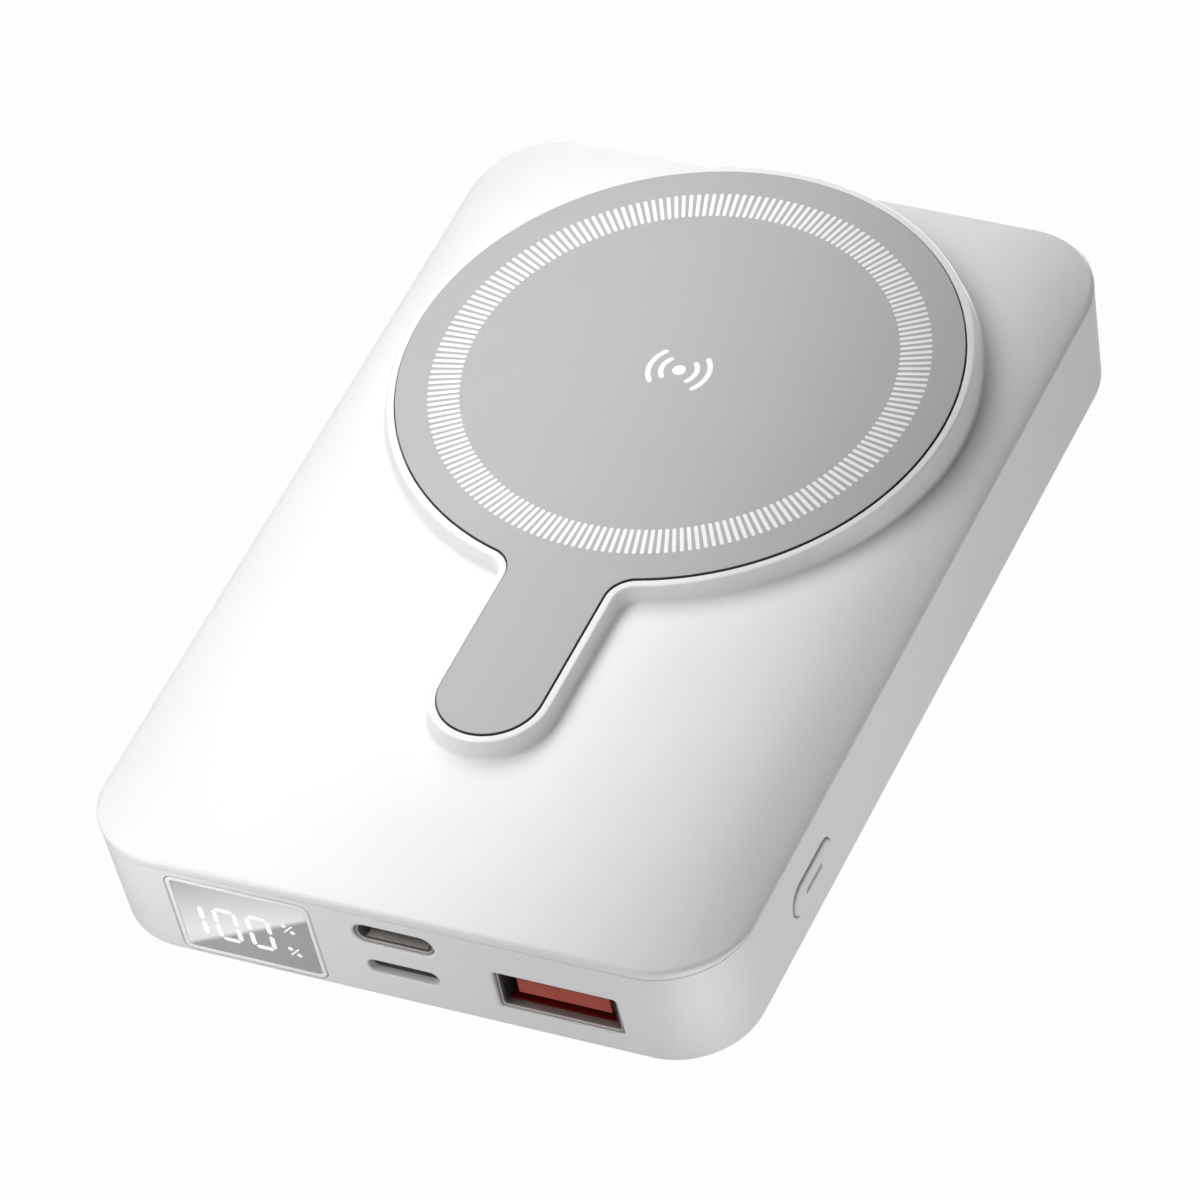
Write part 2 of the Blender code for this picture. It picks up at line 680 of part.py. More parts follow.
def make_sockets(looks):
    recess = 0.35 * MM
    centre = (USB_A_X, USB_A_Z)
    front = front_y(USB_A_Z) + recess
    back = -40.9 * MM
    shape = (usb_a_outline(0.15 * MM), usb_a_outline(0.45 * MM))
    make_socket_shell("usb_a_shell", *shape, centre, front, back, looks["socket"])
    block = (12.8 * MM, 4.3 * MM)
    blade = (11.1 * MM, 1.8 * MM, 1.15 * MM)
    inner_back = back - 0.5 * MM
    make_tongue(
        "usb_a_tongue", centre, block, blade, front + 0.5 * MM, inner_back, looks["orange"]
    )

    centre = (USB_C_X, USB_C_Z)
    front = front_y(USB_C_Z) + recess
    back = -47.6 * MM
    length, height = USB_C_OPENING
    outer = stadium(length - 0.3 * MM, height - 0.3 * MM)
    inner = stadium(length - 0.8 * MM, height - 0.8 * MM)
    make_socket_shell("usb_c_shell", outer, inner, centre, front, back, looks["socket"])
    block = (6.9 * MM, 1.9 * MM)
    blade = (6.7 * MM, 0.7 * MM, 0.0)
    inner_back = back - 0.5 * MM
    make_tongue(
        "usb_c_tongue", centre, block, blade, front + 1.0 * MM, inner_back, looks["tongue"]
    )

    centre = (INPUT_X, INPUT_Z)
    wall_inside = front_y(INPUT_Z) + WALL + FIT
    back = -46.5 * MM
    length, height = INPUT_OPENING
    outer = rounded_rectangle(length / 2 + 0.3 * MM, height / 2 + 0.4 * MM, 0.6 * MM, 3)
    inner = stadium(length - 0.4 * MM, height - 0.05 * MM)
    make_socket_shell(
        "input_port_shell", outer, inner, centre, wall_inside, back, looks["socket"]
    )
    block = (6.4 * MM, 1.35 * MM)
    blade = (6.0 * MM, 0.25 * MM, -0.5 * MM)
    inner_back = back - 0.5 * MM
    make_tongue(
        "input_port_tongue", centre, block, blade, wall_inside + 1.0 * MM, inner_back,
        looks["tongue"],
    )


def make_display(looks):
    outline = rounded_rectangle(
        WINDOW_SIZE[0] / 2, WINDOW_SIZE[1] / 2, WINDOW_RADIUS - BUTTON_GAP, 4
    )
    proud = -0.03 * MM
    rings = []
    for depth in (proud, proud + WINDOW_THICKNESS):
        ring = []
        for x, z in outline:
            height = WINDOW_Z + z
            ring.append((WINDOW_X + x, front_y(height) + depth, height))
        rings.append(ring)
    loft("display_window", rings, looks["window"])
    low = (WINDOW_X - 7.9 * MM, -53.1 * MM, WINDOW_Z - 4.6 * MM)
    high = (WINDOW_X + 7.9 * MM, -50.4 * MM, WINDOW_Z + 5.2 * MM)
    box("led_display", low, high, looks["display"])


# ---------------------------------------------------------------- push button


def make_button(looks):
    """The cap, held behind the wall by its flange, with its origin on the line of travel."""
    centre = Vector((right_x(BUTTON_Z), BUTTON_Y, BUTTON_Z))
    face = BUTTON_PROUD
    crown = 0.2 * MM
    flange_outer = -WALL - 0.3 * MM
    flange_inner = flange_outer - 0.7 * MM
    half_length, half_height = (size / 2 for size in BUTTON_SIZE)
    stages = (
        (0.7 * MM, flange_inner),
        (0.7 * MM, flange_outer),
        (0.0, flange_outer),
        (0.0, face - crown),
        (-crown, face),
    )
    rings = []
    for grow, x in stages:
        outline = stadium(2 * (half_length + grow), 2 * (half_height + grow))
        rings.append([(x - lean_along(z), y, z) for y, z in outline])
    button = loft("power_button", rings, looks["plastic"])
    button.location = centre
    mark_low = (face - 0.12 * MM, -1.9 * MM, -0.16 * MM)
    mark_high = (face + 1 * MM, 1.9 * MM, 0.16 * MM)
    mark = box("button_groove", mark_low, mark_high, cutter=True)
    mark.parent = button
    cut(button, mark)

    body_x = (29.6 * MM, 33.1 * MM)
    body_z = (5.5 * MM, BOARD_Z - 0.2 * MM)
    low = (body_x[0], BUTTON_Y - 2.4 * MM, body_z[0])
    high = (body_x[1], BUTTON_Y + 2.4 * MM, body_z[1])
    body = box("switch_body", low, high, looks["tray"])
    plunger_z = 6.5 * MM
    guide_low = (31.4 * MM, BUTTON_Y - 1.35 * MM, plunger_z - 0.6 * MM)
    guide_high = (34.0 * MM, BUTTON_Y + 1.35 * MM, plunger_z + 0.6 * MM)
    cut(body, box("plunger_guide", guide_low, guide_high, cutter=True))

    tip = centre.x + flange_inner - 0.1 * MM
    length = tip - 32.1 * MM
    half = (1.15 * MM, 0.4 * MM)
    plunger = box(
        "switch_plunger", (-length, -half[0], -half[1]), (0.0, half[0], half[1]), looks["chip"]
    )
    plunger.location = (tip, BUTTON_Y, plunger_z)


def lean_along(z):
    """The wall's lean at a height measured from the button's middle."""
    return -DRAFT * z


# ---------------------------------------------------------------- assembly


def clear_scene():
    for item in list(bpy.data.objects):
        bpy.data.objects.remove(item, do_unlink=True)


def make_looks():
    return {
        "plastic": material("white satin plastic", (0.86, 0.86, 0.87), 0.35),
        "plate": material("silver plate", (0.55, 0.55, 0.56), 0.35, 0.6),
        "adhesive": material("adhesive film", (0.75, 0.70, 0.55), 0.6),
        "window": material("display window", (0.10, 0.10, 0.11), 0.08),
        "display": material("display module", (0.05, 0.05, 0.05), 0.5),
        "socket": material("socket metal", (0.45, 0.45, 0.46), 0.3, 1.0),
        "orange": material("orange insulator", (0.62, 0.09, 0.04), 0.45),
        "tongue": material("black insulator", (0.03, 0.03, 0.03), 0.5),
        "magnet": material("nickel plated magnet", (0.60, 0.60, 0.61), 0.25, 1.0),
        "steel": material("steel", (0.50, 0.50, 0.51), 0.3, 1.0),
        "aluminium": material("aluminium", (0.75, 0.75, 0.76), 0.35, 1.0),
        "copper": material("copper wire", (0.80, 0.38, 0.20), 0.35, 1.0),
        "ferrite": material("ferrite", (0.06, 0.06, 0.065), 0.6),
        "tray": material("grey moulding", (0.25, 0.25, 0.26), 0.5),
        "pouch": material("cell pouch", (0.62, 0.63, 0.66), 0.4, 0.5),
        "tape": material("foam tape", (0.90, 0.90, 0.88), 0.8),
        "nickel": material("nickel tab", (0.66, 0.64, 0.60), 0.3, 1.0),
        "board": material("circuit board", (0.02, 0.16, 0.07), 0.4),
        "chip": material("chip", (0.02, 0.02, 0.02), 0.4),
        "inductor": material("inductor", (0.10, 0.10, 0.11), 0.6),
        "lead": material("lead", (0.02, 0.02, 0.02), 0.5),
    }


def main():
    clear_scene()
    looks = make_looks()
    make_top_cover(looks["plastic"])
    make_bottom_shell(looks["plastic"])
    make_pad(looks["plate"], looks["adhesive"])
    make_coil_stack(looks)
    make_coil_leads(looks["copper"])
    make_cell(looks)
    make_board(looks)
    make_components(looks)
    make_sockets(looks)
    make_display(looks)
    make_button(looks)


main()
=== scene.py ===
"""The visible model of a wireless power bank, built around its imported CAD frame.

Lengths are in metres, in the frame of the CAD model: origin at the centre of the underside, +Z up
out of the charging pad, -Y out of the wall with the sockets, +X out of the wall with the button.
"""

import math

import bmesh
import bpy
import numpy as np
from mathutils import Euler, Matrix, Vector


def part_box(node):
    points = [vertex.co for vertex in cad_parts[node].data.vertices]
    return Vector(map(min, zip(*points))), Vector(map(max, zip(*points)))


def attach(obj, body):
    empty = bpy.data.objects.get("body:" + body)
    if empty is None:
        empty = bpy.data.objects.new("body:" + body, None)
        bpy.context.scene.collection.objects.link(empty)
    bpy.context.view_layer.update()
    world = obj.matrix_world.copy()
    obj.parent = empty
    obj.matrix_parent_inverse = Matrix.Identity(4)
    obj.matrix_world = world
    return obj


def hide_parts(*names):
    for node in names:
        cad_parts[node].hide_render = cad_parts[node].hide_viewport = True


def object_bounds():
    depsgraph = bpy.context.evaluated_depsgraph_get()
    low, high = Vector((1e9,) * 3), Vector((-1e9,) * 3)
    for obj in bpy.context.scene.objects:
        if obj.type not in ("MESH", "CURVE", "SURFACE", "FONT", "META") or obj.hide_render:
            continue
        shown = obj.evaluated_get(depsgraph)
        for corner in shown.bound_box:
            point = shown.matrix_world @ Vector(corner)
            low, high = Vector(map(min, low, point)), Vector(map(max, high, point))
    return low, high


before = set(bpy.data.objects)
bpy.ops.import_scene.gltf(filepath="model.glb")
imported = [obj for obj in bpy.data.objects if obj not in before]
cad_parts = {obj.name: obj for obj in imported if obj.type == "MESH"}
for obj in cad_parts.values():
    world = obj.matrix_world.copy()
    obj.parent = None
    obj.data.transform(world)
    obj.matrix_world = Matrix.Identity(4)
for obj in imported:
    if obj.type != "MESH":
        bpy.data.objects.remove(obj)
cad_low, cad_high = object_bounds()

MM = 0.001

# Housing
WIDTH = cad_high.x - cad_low.x
LENGTH = cad_high.y - cad_low.y
CORNER_RADIUS = 9.7 * MM
RIM_Z = 15.1 * MM
SIDE_DROP = 0.7 * MM
CROWN = 1.5 * MM
SIDE_SHOULDER = 8  # the higher, the closer to the side walls the crown stays up
END_SHOULDER = 5  # the same towards the front and back walls
DRAFT = 0.053
FLOOR_RADIUS = 1.2 * MM
EDGE_RADIUS = 0.45 * MM
EDGE_STRETCH = 4.0  # how far the rim's rounding widens where it is shallow
WALL = 1.8 * MM
FLOOR = 1.6 * MM
CEILING = 1.5 * MM
PARTING_Z = 13.9 * MM  # where the cover meets the tub
PARTING_GAP = 0.06 * MM
SEAM_EDGE = 0.06 * MM  # rounding on both sides of the seam
LIP_DEPTH = 1.0 * MM
LIP_WALL = 0.9 * MM
FIT = 0.2 * MM

# Keyhole pad
PAD_Y = (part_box("charging_coil")[0].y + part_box("charging_coil")[1].y) / 2
PAD_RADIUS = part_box("charging_pad")[1].x
PAD_TOP_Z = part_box("charging_pad")[1].z
PAD_BOTTOM_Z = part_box("charging_pad")[0].z
TAIL_END_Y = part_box("charging_pad")[0].y
TAIL_HALF_WIDTH = 5.8 * MM
TAIL_FILLET = 3.4 * MM
BOSS_TOP_Z = 18.8 * MM
BOSS_WALL = 1.0 * MM
BOSS_WALL_Z = 18.65 * MM  # the height at which the boss's wall is that thick
BOSS_LEAN = 0.17
PAD_GAP = 0.1 * MM
POCKET_FLOOR_Z = 17.98 * MM
POCKET_FLOOR = 0.8 * MM

# Front wall: centres in X and Z, then opening sizes
USB_A_X, USB_A_Z = 18.05 * MM, 6.35 * MM
USB_A_OPENING = (14.1 * MM, 5.6 * MM)
USB_C_X, USB_C_Z = 0.1 * MM, 10.7 * MM
USB_C_OPENING = (9.3 * MM, 2.95 * MM)
INPUT_X, INPUT_Z = 0.2 * MM, 5.5 * MM
INPUT_OPENING = (8.2 * MM, 2.0 * MM)
SOCKET_RECESS = 0.35 * MM
INSERT_BACK = 0.5 * MM  # from a sleeve's back to the insulator inside it
BLOCK_DEPTH = 2.2 * MM  # the solid part of that insulator, behind its tongue
LINER_END = 2.3 * MM
CONTACT_END = 2.4 * MM
WINDOW_X, WINDOW_Z = -17.8 * MM, 7.0 * MM
WINDOW_SIZE = (16.7 * MM, 11.8 * MM)
WINDOW_RADIUS = 1.15 * MM
WINDOW_THICKNESS = 1.2 * MM
WINDOW_GAP = 0.14 * MM

# Right wall: push button
BUTTON_Y, BUTTON_Z = -32.4 * MM, 6.7 * MM
BUTTON_SIZE = (9.6 * MM, 4.0 * MM)
BUTTON_PROUD = 0.25 * MM
BUTTON_GAP = 0.24 * MM

# Printed ring of ticks on the pad
TICK_COUNT = 200
TICK_INNER = 23.9 * MM
TICK_OUTER = 27.5 * MM
PRINT_HEIGHT = 0.015 * MM


# ---------------------------------------------------------------- materials


class Look:
    """A procedural material, built up from its principled shader."""

    def __init__(self, name, metallic=0.0, ior=1.49):
        self.material = bpy.data.materials.new(name)
        self.material.use_nodes = True
        self.tree = self.material.node_tree
        self.shader = self.tree.nodes["Principled BSDF"]
        self.shader.inputs["Metallic"].default_value = metallic
        self.shader.inputs["IOR"].default_value = ior
        self.place = self.add("ShaderNodeTexCoord").outputs["Object"]

    def add(self, kind):
        return self.tree.nodes.new(kind)

    def feed(self, socket, source):
        """Links a source to a socket, or sets it where the source is a plain value."""
        if isinstance(source, bpy.types.NodeSocket):
            self.tree.links.new(source, socket)
        else:
            socket.default_value = source

    def stretched(self, scale):
        mapping = self.add("ShaderNodeMapping")
        self.feed(mapping.inputs["Vector"], self.place)
        mapping.inputs["Scale"].default_value = scale
        return mapping.outputs["Vector"]

    def noise(self, scale, detail=2.0, vector=None):
        noise = self.add("ShaderNodeTexNoise")
        self.feed(noise.inputs["Vector"], vector or self.place)
        noise.inputs["Scale"].default_value = scale
        noise.inputs["Detail"].default_value = detail
        return noise.outputs[0]

    def cells(self, scale, feature="F1", vector=None):
        cells = self.add("ShaderNodeTexVoronoi")
        cells.feature = feature
        self.feed(cells.inputs["Vector"], vector or self.place)
        cells.inputs["Scale"].default_value = scale
        return cells.outputs["Distance"]

    def math(self, operation, first, second=0.0):
        made = self.add("ShaderNodeMath")
        made.operation = operation
        self.feed(made.inputs[0], first)
        self.feed(made.inputs[1], second)
        return made.outputs[0]

    def remap(self, value, low, high, source=(0.3, 0.7)):
        remap = self.add("ShaderNodeMapRange")
        self.feed(remap.inputs["Value"], value)
        remap.inputs["From Min"].default_value = source[0]
        remap.inputs["From Max"].default_value = source[1]
        remap.inputs["To Min"].default_value = low
        remap.inputs["To Max"].default_value = high
        return remap.outputs["Result"]

    def mix(self, factor, first, second):
        mix = self.add("ShaderNodeMix")
        mix.data_type = "RGBA"
        self.feed(mix.inputs[0], factor)
        self.feed(mix.inputs[6], first)
        self.feed(mix.inputs[7], second)
        return mix.outputs[2]

    def colour(self, source):
        self.feed(self.shader.inputs["Base Color"], source)

    def vary(self, base, spread, scale):
        """The base colour, a little lighter and darker in soft patches."""
        darker = (*(c * (1 - spread) for c in base), 1.0)
        lighter = (*(min(c * (1 + spread), 1.0) for c in base), 1.0)
        patches = self.remap(self.noise(scale, 3.0), 0.0, 1.0)
        return self.mix(patches, darker, lighter)

    def rough(self, low, high, scale=400.0, vector=None):
        value = self.remap(self.noise(scale, 2.0, vector), low, high)
        self.feed(self.shader.inputs["Roughness"], value)

    def bump(self, height, depth):
        bump = self.add("ShaderNodeBump")
        self.feed(bump.inputs["Height"], height)
        bump.inputs["Distance"].default_value = depth
        self.feed(self.shader.inputs["Normal"], bump.outputs["Normal"])


def moulded(name, base, roughness=(0.34, 0.42), grain=0.004 * MM, spread=0.012, specular=0.5):
    """Plastic with a fine spark-eroded grain."""
    look = Look(name)
    look.colour(look.vary(base, spread, 60.0))
    look.rough(*roughness)
    look.bump(look.noise(4200.0, 2.0), grain)
    look.shader.inputs["Specular IOR Level"].default_value = specular
    return look.material


def blasted_sheet(name, base, roughness):
    """A flat sheet with a bead-blasted, anodised face."""
    look = Look(name)
    look.colour(look.vary(base, 0.02, 35.0))
    look.rough(*roughness, scale=900.0)
    look.bump(look.noise(5200.0, 3.0), 0.006 * MM)
    return look.material


def drawn_metal(name, base, roughness=(0.22, 0.36), along="y"):
    """Sheet metal with fine lines along one axis."""
    look = Look(name, 1.0)
    scales = {"x": (1.0, 30.0, 30.0), "y": (30.0, 1.0, 30.0), "z": (30.0, 30.0, 1.0)}
    lines = look.stretched(scales[along])
    look.colour(look.vary(base, 0.05, 150.0))
    look.rough(*roughness, scale=220.0, vector=lines)
    look.bump(look.noise(260.0, 3.0, lines), 0.004 * MM)
    return look.material


def ringed(name, base, metallic, pitch, depth, roughness=(0.3, 0.45)):
    """Wound wire: rings around the pad's axis, one a turn."""
    look = Look(name, metallic)
    split = look.add("ShaderNodeSeparateXYZ")
    look.feed(split.inputs[0], look.place)
    across = look.math("MULTIPLY", split.outputs["X"], split.outputs["X"])
    shifted = look.math("SUBTRACT", split.outputs["Y"], PAD_Y)
    along = look.math("MULTIPLY", shifted, shifted)
    reach = look.math("SQRT", look.math("ADD", across, along))
    wave = look.math("SINE", look.math("MULTIPLY", reach, math.tau / pitch))
    share = look.remap(wave, 0.0, 1.0, (-1.0, 1.0))
    # Darker where the bump dips: painted shade in the grooves between turns
    look.colour(look.mix(share, (*(c * 0.45 for c in base), 1.0), (*base, 1.0)))
    look.rough(*roughness)
    look.bump(share, depth)
    return look.material


def printed_board():
    """Green solder mask with lighter tracks under it and a few tinned spots."""
    look = Look("circuit board")
    tracks = look.cells(520.0, "DISTANCE_TO_EDGE", look.stretched((1.0, 1.6, 0.4)))
    on_track = look.remap(tracks, 1.0, 0.0, (0.03, 0.06))
    green = look.mix(on_track, (0.010, 0.095, 0.040, 1.0), (0.025, 0.20, 0.085, 1.0))
    spots = look.remap(look.cells(420.0), 1.0, 0.0, (0.10, 0.13))
    look.colour(look.mix(spots, green, (0.62, 0.60, 0.55, 1.0)))
    look.rough(0.28, 0.40)
    look.bump(on_track, 0.02 * MM)
    return look.material


def cracked(name, base, scale):
    """Ferrite, pressed from small tiles."""
    look = Look(name)
    edges = look.remap(look.cells(scale, "DISTANCE_TO_EDGE"), 1.0, 0.0, (0.01, 0.05))
    look.colour(look.mix(edges, (*base, 1.0), (*(c * 0.3 for c in base), 1.0)))
    look.rough(0.45, 0.6)
    look.bump(edges, -0.02 * MM)
    return look.material


def foil():
    """The laminated aluminium foil of a pouch cell, slightly crumpled."""
    look = Look("cell pouch", 0.75)
    look.colour(look.vary((0.60, 0.61, 0.64), 0.05, 90.0))
    look.rough(0.28, 0.44, 180.0)
    look.bump(look.noise(260.0, 5.0), 0.05 * MM)
    return look.material


def foam(name, base, scale):
    """Closed-cell foam or film with fine pores."""
    look = Look(name)
    pores = look.cells(scale)
    shade = look.remap(pores, 0.0, 1.0, (0.1, 0.7))
    look.colour(look.mix(shade, (*base, 1.0), (*(c * 0.7 for c in base), 1.0)))
    look.rough(0.7, 0.9)
    look.bump(pores, 0.05 * MM)
    return look.material


def display_glass():
    """Grey tinted acrylic, with a painted reflection above a line that runs up from its lower left
    corner.
    """
    look = Look("display window")
    apart = look.add("ShaderNodeSeparateXYZ")
    look.feed(apart.inputs["Vector"], look.place)
    right = look.math("SUBTRACT", apart.outputs["X"], WINDOW_X - WINDOW_SIZE[0] / 2)
    down = look.math("SUBTRACT", WINDOW_Z + WINDOW_SIZE[1] / 2, apart.outputs["Z"])
    # Painted reflection: dim at the upper left corner and brightening towards the line; below the line
    # is the pane's own smoked grey
    sheen_slope = 0.4
    sheen_length = 9.0 * MM
    dim = (0.41, 0.41, 0.415, 1.0)
    bright = (0.98, 0.98, 0.985, 1.0)
    sheen = look.math("ADD", look.math("MULTIPLY", right, sheen_slope), down)
    painted_reflection = look.mix(look.remap(sheen, 0.0, 1.0, (0.0, sheen_length)), dim, bright)
    line_slope = 0.55
    line_place = (10.9 * MM, 11.6 * MM)
    below = look.math("ADD", look.math("MULTIPLY", right, line_slope), down)
    smoked = look.vary((0.395, 0.395, 0.40), 0.04, 120.0)
    look.colour(look.mix(look.remap(below, 0.0, 1.0, line_place), painted_reflection, smoked))
    look.rough(0.05, 0.09, 300.0)
    look.bump(look.noise(180.0, 1.0), 0.002 * MM)
    look.shader.inputs["Coat Weight"].default_value = 0.6
    look.shader.inputs["Coat Roughness"].default_value = 0.03
    return look.material


def lit_segments():
    """White light-emitting segments, their glow varying a little in soft patches."""
    look = Look("lit segments")
    look.colour(look.vary((0.93, 0.93, 0.93), 0.03, 900.0))
    look.rough(0.2, 0.3)
    glow = look.remap(look.noise(700.0), 0.18, 0.26)
    look.shader.inputs["Emission Color"].default_value = (1.0, 1.0, 1.0, 1.0)
    look.feed(look.shader.inputs["Emission Strength"], glow)
    return look.material


LOOKS = {
    "white_plastic": moulded("white satin plastic", (0.80, 0.80, 0.805)),
    "button": moulded("button plastic", (0.79, 0.79, 0.795), (0.30, 0.38)),
    "silver_plate": blasted_sheet("silver plate", (0.42, 0.42, 0.425), (0.50, 0.58)),
    # Near-black ring around the pad: painted shade in the gap between plate and boss
    "gap_shade": foam("gap_shade", (0.06, 0.06, 0.06), 1500.0),
    # Dark red: painted shade on the USB-A sleeve's floor, below and in front of its tongue
    "red_floor_painted_shade": moulded("red socket floor with painted shade", (0.12, 0.003, 0.002), (0.7, 0.85), specular=0.1),
    "print": moulded("white print", (0.88, 0.88, 0.88), (0.45, 0.55), 0.002 * MM),
    # A real bezel, its white lighter than the housing's as a painted highlight along the window's edge
    "bezel": moulded("display bezel with painted highlight", (0.90, 0.90, 0.90), (0.12, 0.18), 0.001 * MM),
    "adhesive_film": foam("adhesive film", (0.72, 0.66, 0.50), 900.0),
    "display_window": display_glass(),
    "segments": lit_segments(),
    "display_module": moulded("display module", (0.035, 0.035, 0.038), (0.4, 0.55)),
    "socket_metal": drawn_metal("socket metal", (0.46, 0.43, 0.42), (0.45, 0.55)),
    "orange_insulator": moulded("orange insulator", (0.40, 0.055, 0.030), (0.45, 0.6)),
    "warm_liner": moulded("socket liner", (0.55, 0.49, 0.47), (0.45, 0.6)),
    # Black for the real insulators, and painted shade for the dark side sheets in the USB-A socket and
    # the plug in the input slot
    "black_insulator": moulded("black insulator", (0.03, 0.03, 0.032), (0.4, 0.55)),
    "contact": drawn_metal("gilt contact", (0.83, 0.62, 0.28), (0.18, 0.3)),
    "grey_moulding": moulded("grey moulding", (0.24, 0.24, 0.25), (0.42, 0.58), 0.01 * MM, 0.05),
    "chip_black": moulded("chip", (0.022, 0.022, 0.024), (0.35, 0.5), 0.008 * MM, 0.1),
    "steel": drawn_metal("steel", (0.52, 0.52, 0.53), (0.24, 0.4), "x"),
    "magnet_plating": drawn_metal("nickel plated magnet", (0.63, 0.62, 0.60), (0.14, 0.26), "z"),
    "bare_aluminium": drawn_metal("aluminium", (0.76, 0.76, 0.77), (0.28, 0.42)),
    "copper": ringed("copper winding", (0.78, 0.34, 0.16), 1.0, 0.6 * MM, 0.10 * MM),
    "lead_copper": drawn_metal("copper lead", (0.78, 0.34, 0.16), (0.3, 0.45)),
    "ferrite": cracked("ferrite", (0.055, 0.055, 0.060), 260.0),
    "cell_pouch": foil(),
    "foam_tape": foam("foam tape", (0.86, 0.86, 0.84), 1500.0),
    "nickel_tab": drawn_metal("nickel tab", (0.66, 0.63, 0.58), (0.25, 0.38)),
    "circuit_board": printed_board(),
    "inductor": cracked("inductor", (0.10, 0.10, 0.108), 700.0),
    "lead_black": moulded("lead sleeve", (0.02, 0.02, 0.021), (0.4, 0.5)),
}

# CAD nodes that keep their shape, and the look each one takes
NODE_LOOKS = {
    "adhesive_film": ("pad_adhesive",),
    "display_module": ("led_display",),
    "grey_moulding": ("coil_tray", "switch_body"),
    "chip_black": ("controller_chip", "wireless_chip", "thermistor", "switch_plunger"),
    "steel": ("magnet_keeper", "board_screw_1", "board_screw_2"),
    "magnet_plating": ("alignment_magnet", *(f"magnet_{i:02d}" for i in range(1, 17))),
    "bare_aluminium": ("heat_shield", "capacitor_1", "capacitor_2"),
    "copper": ("charging_coil",),
    "lead_copper": ("coil_lead_1", "coil_lead_2"),
    "ferrite": ("ferrite_sheet",),
    "cell_pouch": ("battery_cell",),
    "foam_tape": ("battery_tape",),
    "nickel_tab": ("battery_tab_positive", "battery_tab_negative"),
    "circuit_board": ("main_board",),
    "inductor": ("power_inductor", "wireless_inductor"),
    "lead_black": ("thermistor_lead",),
}


def dress_nodes():
    for look, names in NODE_LOOKS.items():
        for name in names:
            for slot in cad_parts[name].material_slots:
                slot.material = LOOKS[look]


# ---------------------------------------------------------------- outlines


def arc(centre, radius, start, end, steps):
    """Points on an arc, both ends included. Angles are in radians."""
    angles = np.linspace(start, end, steps + 1)
    return [(centre[0] + radius * math.cos(a), centre[1] + radius * math.sin(a)) for a in angles]


def rounded_rectangle(half_x, half_y, radius, steps=8):
    outline = []
    corners = ((1, 1), (-1, 1), (-1, -1), (1, -1))
    for index, (side_x, side_y) in enumerate(corners):
        centre = (side_x * (half_x - radius), side_y * (half_y - radius))
        start = math.pi / 2 * index
        outline += arc(centre, radius, start, start + math.pi / 2, steps)
    return outline


def stadium(length, height, steps=20):
    """A slot with round ends, its length along the first axis."""
    radius = height / 2
    reach = length / 2 - radius
    right = arc((reach, 0.0), radius, -math.pi / 2, math.pi / 2, steps)
    left = arc((-reach, 0.0), radius, math.pi / 2, 3 * math.pi / 2, steps)
    return right + left


def keyhole(offset):
    """The pad's outline grown outwards by an offset: a disc with a round-ended tail towards -Y."""
    radius = PAD_RADIUS + offset
    half_width = TAIL_HALF_WIDTH + offset
    fillet = TAIL_FILLET - offset
    side = half_width + fillet
    drop = math.sqrt((radius + fillet) ** 2 - side**2)
    join = math.atan2(-drop, side)
    fillet_y = PAD_Y - drop
    end_y = TAIL_END_Y + TAIL_HALF_WIDTH
    ring = arc((0.0, PAD_Y), radius, join, math.pi - join, 900)
    left = arc((-side, fillet_y), fillet, -join, 0.0, 60)
    end = arc((0.0, end_y), half_width, -math.pi, 0.0, 200)
    right = arc((side, fillet_y), fillet, math.pi, math.pi + join, 60)
    return ring + left[1:] + end + right[:-1]


def body_outline(inset):
    radius = max(CORNER_RADIUS - inset, 0.8 * MM)
    return rounded_rectangle(WIDTH / 2 - inset, LENGTH / 2 - inset, radius, 120)


def reach_of(outline, directions):
    """How far a closed outline lies from the origin in each direction."""
    corners = np.array([*outline, outline[0]])
    lengths = np.hypot(*np.diff(corners, axis=0).T)
    walked = np.concatenate(([0.0], np.cumsum(lengths)))
    places = np.arange(0.0, walked[-1], 0.05 * MM)
    x = np.interp(places, walked, corners[:, 0])
    y = np.interp(places, walked, corners[:, 1])
    return np.interp(directions, np.arctan2(y, x), np.hypot(x, y), period=math.tau)


def shared_directions(count):
    """Directions from the origin that space points evenly along pad and housing together."""
    fine = np.linspace(-math.pi / 2, 3 * math.pi / 2, 14401)
    walked = np.zeros(len(fine))
    for outline in (keyhole(0.8 * MM), body_outline(0.0)):
        reach = reach_of(outline, fine)
        steps = np.hypot(np.diff(reach * np.cos(fine)), np.diff(reach * np.sin(fine)))
        walked[1:] += np.cumsum(steps)
    levels = np.linspace(0.0, walked[-1], count + 1)[:-1]
    return np.interp(levels, walked, fine)


DIRECTIONS = shared_directions(720)
OFFSETS = np.arange(-2.0, 3.01, 0.1) * MM
KEYHOLES = np.array([reach_of(keyhole(offset), DIRECTIONS) for offset in OFFSETS])


def keyhole_reach(offset):
    """The keyhole's reach in the shared directions, for one offset or one per direction."""
    offset = np.broadcast_to(offset, DIRECTIONS.shape)
    place = (offset - OFFSETS[0]) / (OFFSETS[1] - OFFSETS[0])
    row = np.clip(place.astype(int), 0, len(OFFSETS) - 2)
    column = np.arange(len(DIRECTIONS))
    share = place - row
    return KEYHOLES[row, column] * (1 - share) + KEYHOLES[row + 1, column] * share


def body_reach(inset):
    return reach_of(body_outline(inset), DIRECTIONS)


RIM_REACH = body_reach(0.0)
RIM_CHANGE = (body_reach(1.0 * MM) - RIM_REACH) / MM


def rim_reach(inset):
    """The body's reach near its rim, for an inset that may differ in each direction."""
    return RIM_REACH + RIM_CHANGE * inset


def lean(z):
    """How far the drafted wall has come in at a height."""
    return DRAFT * (RIM_Z - z)


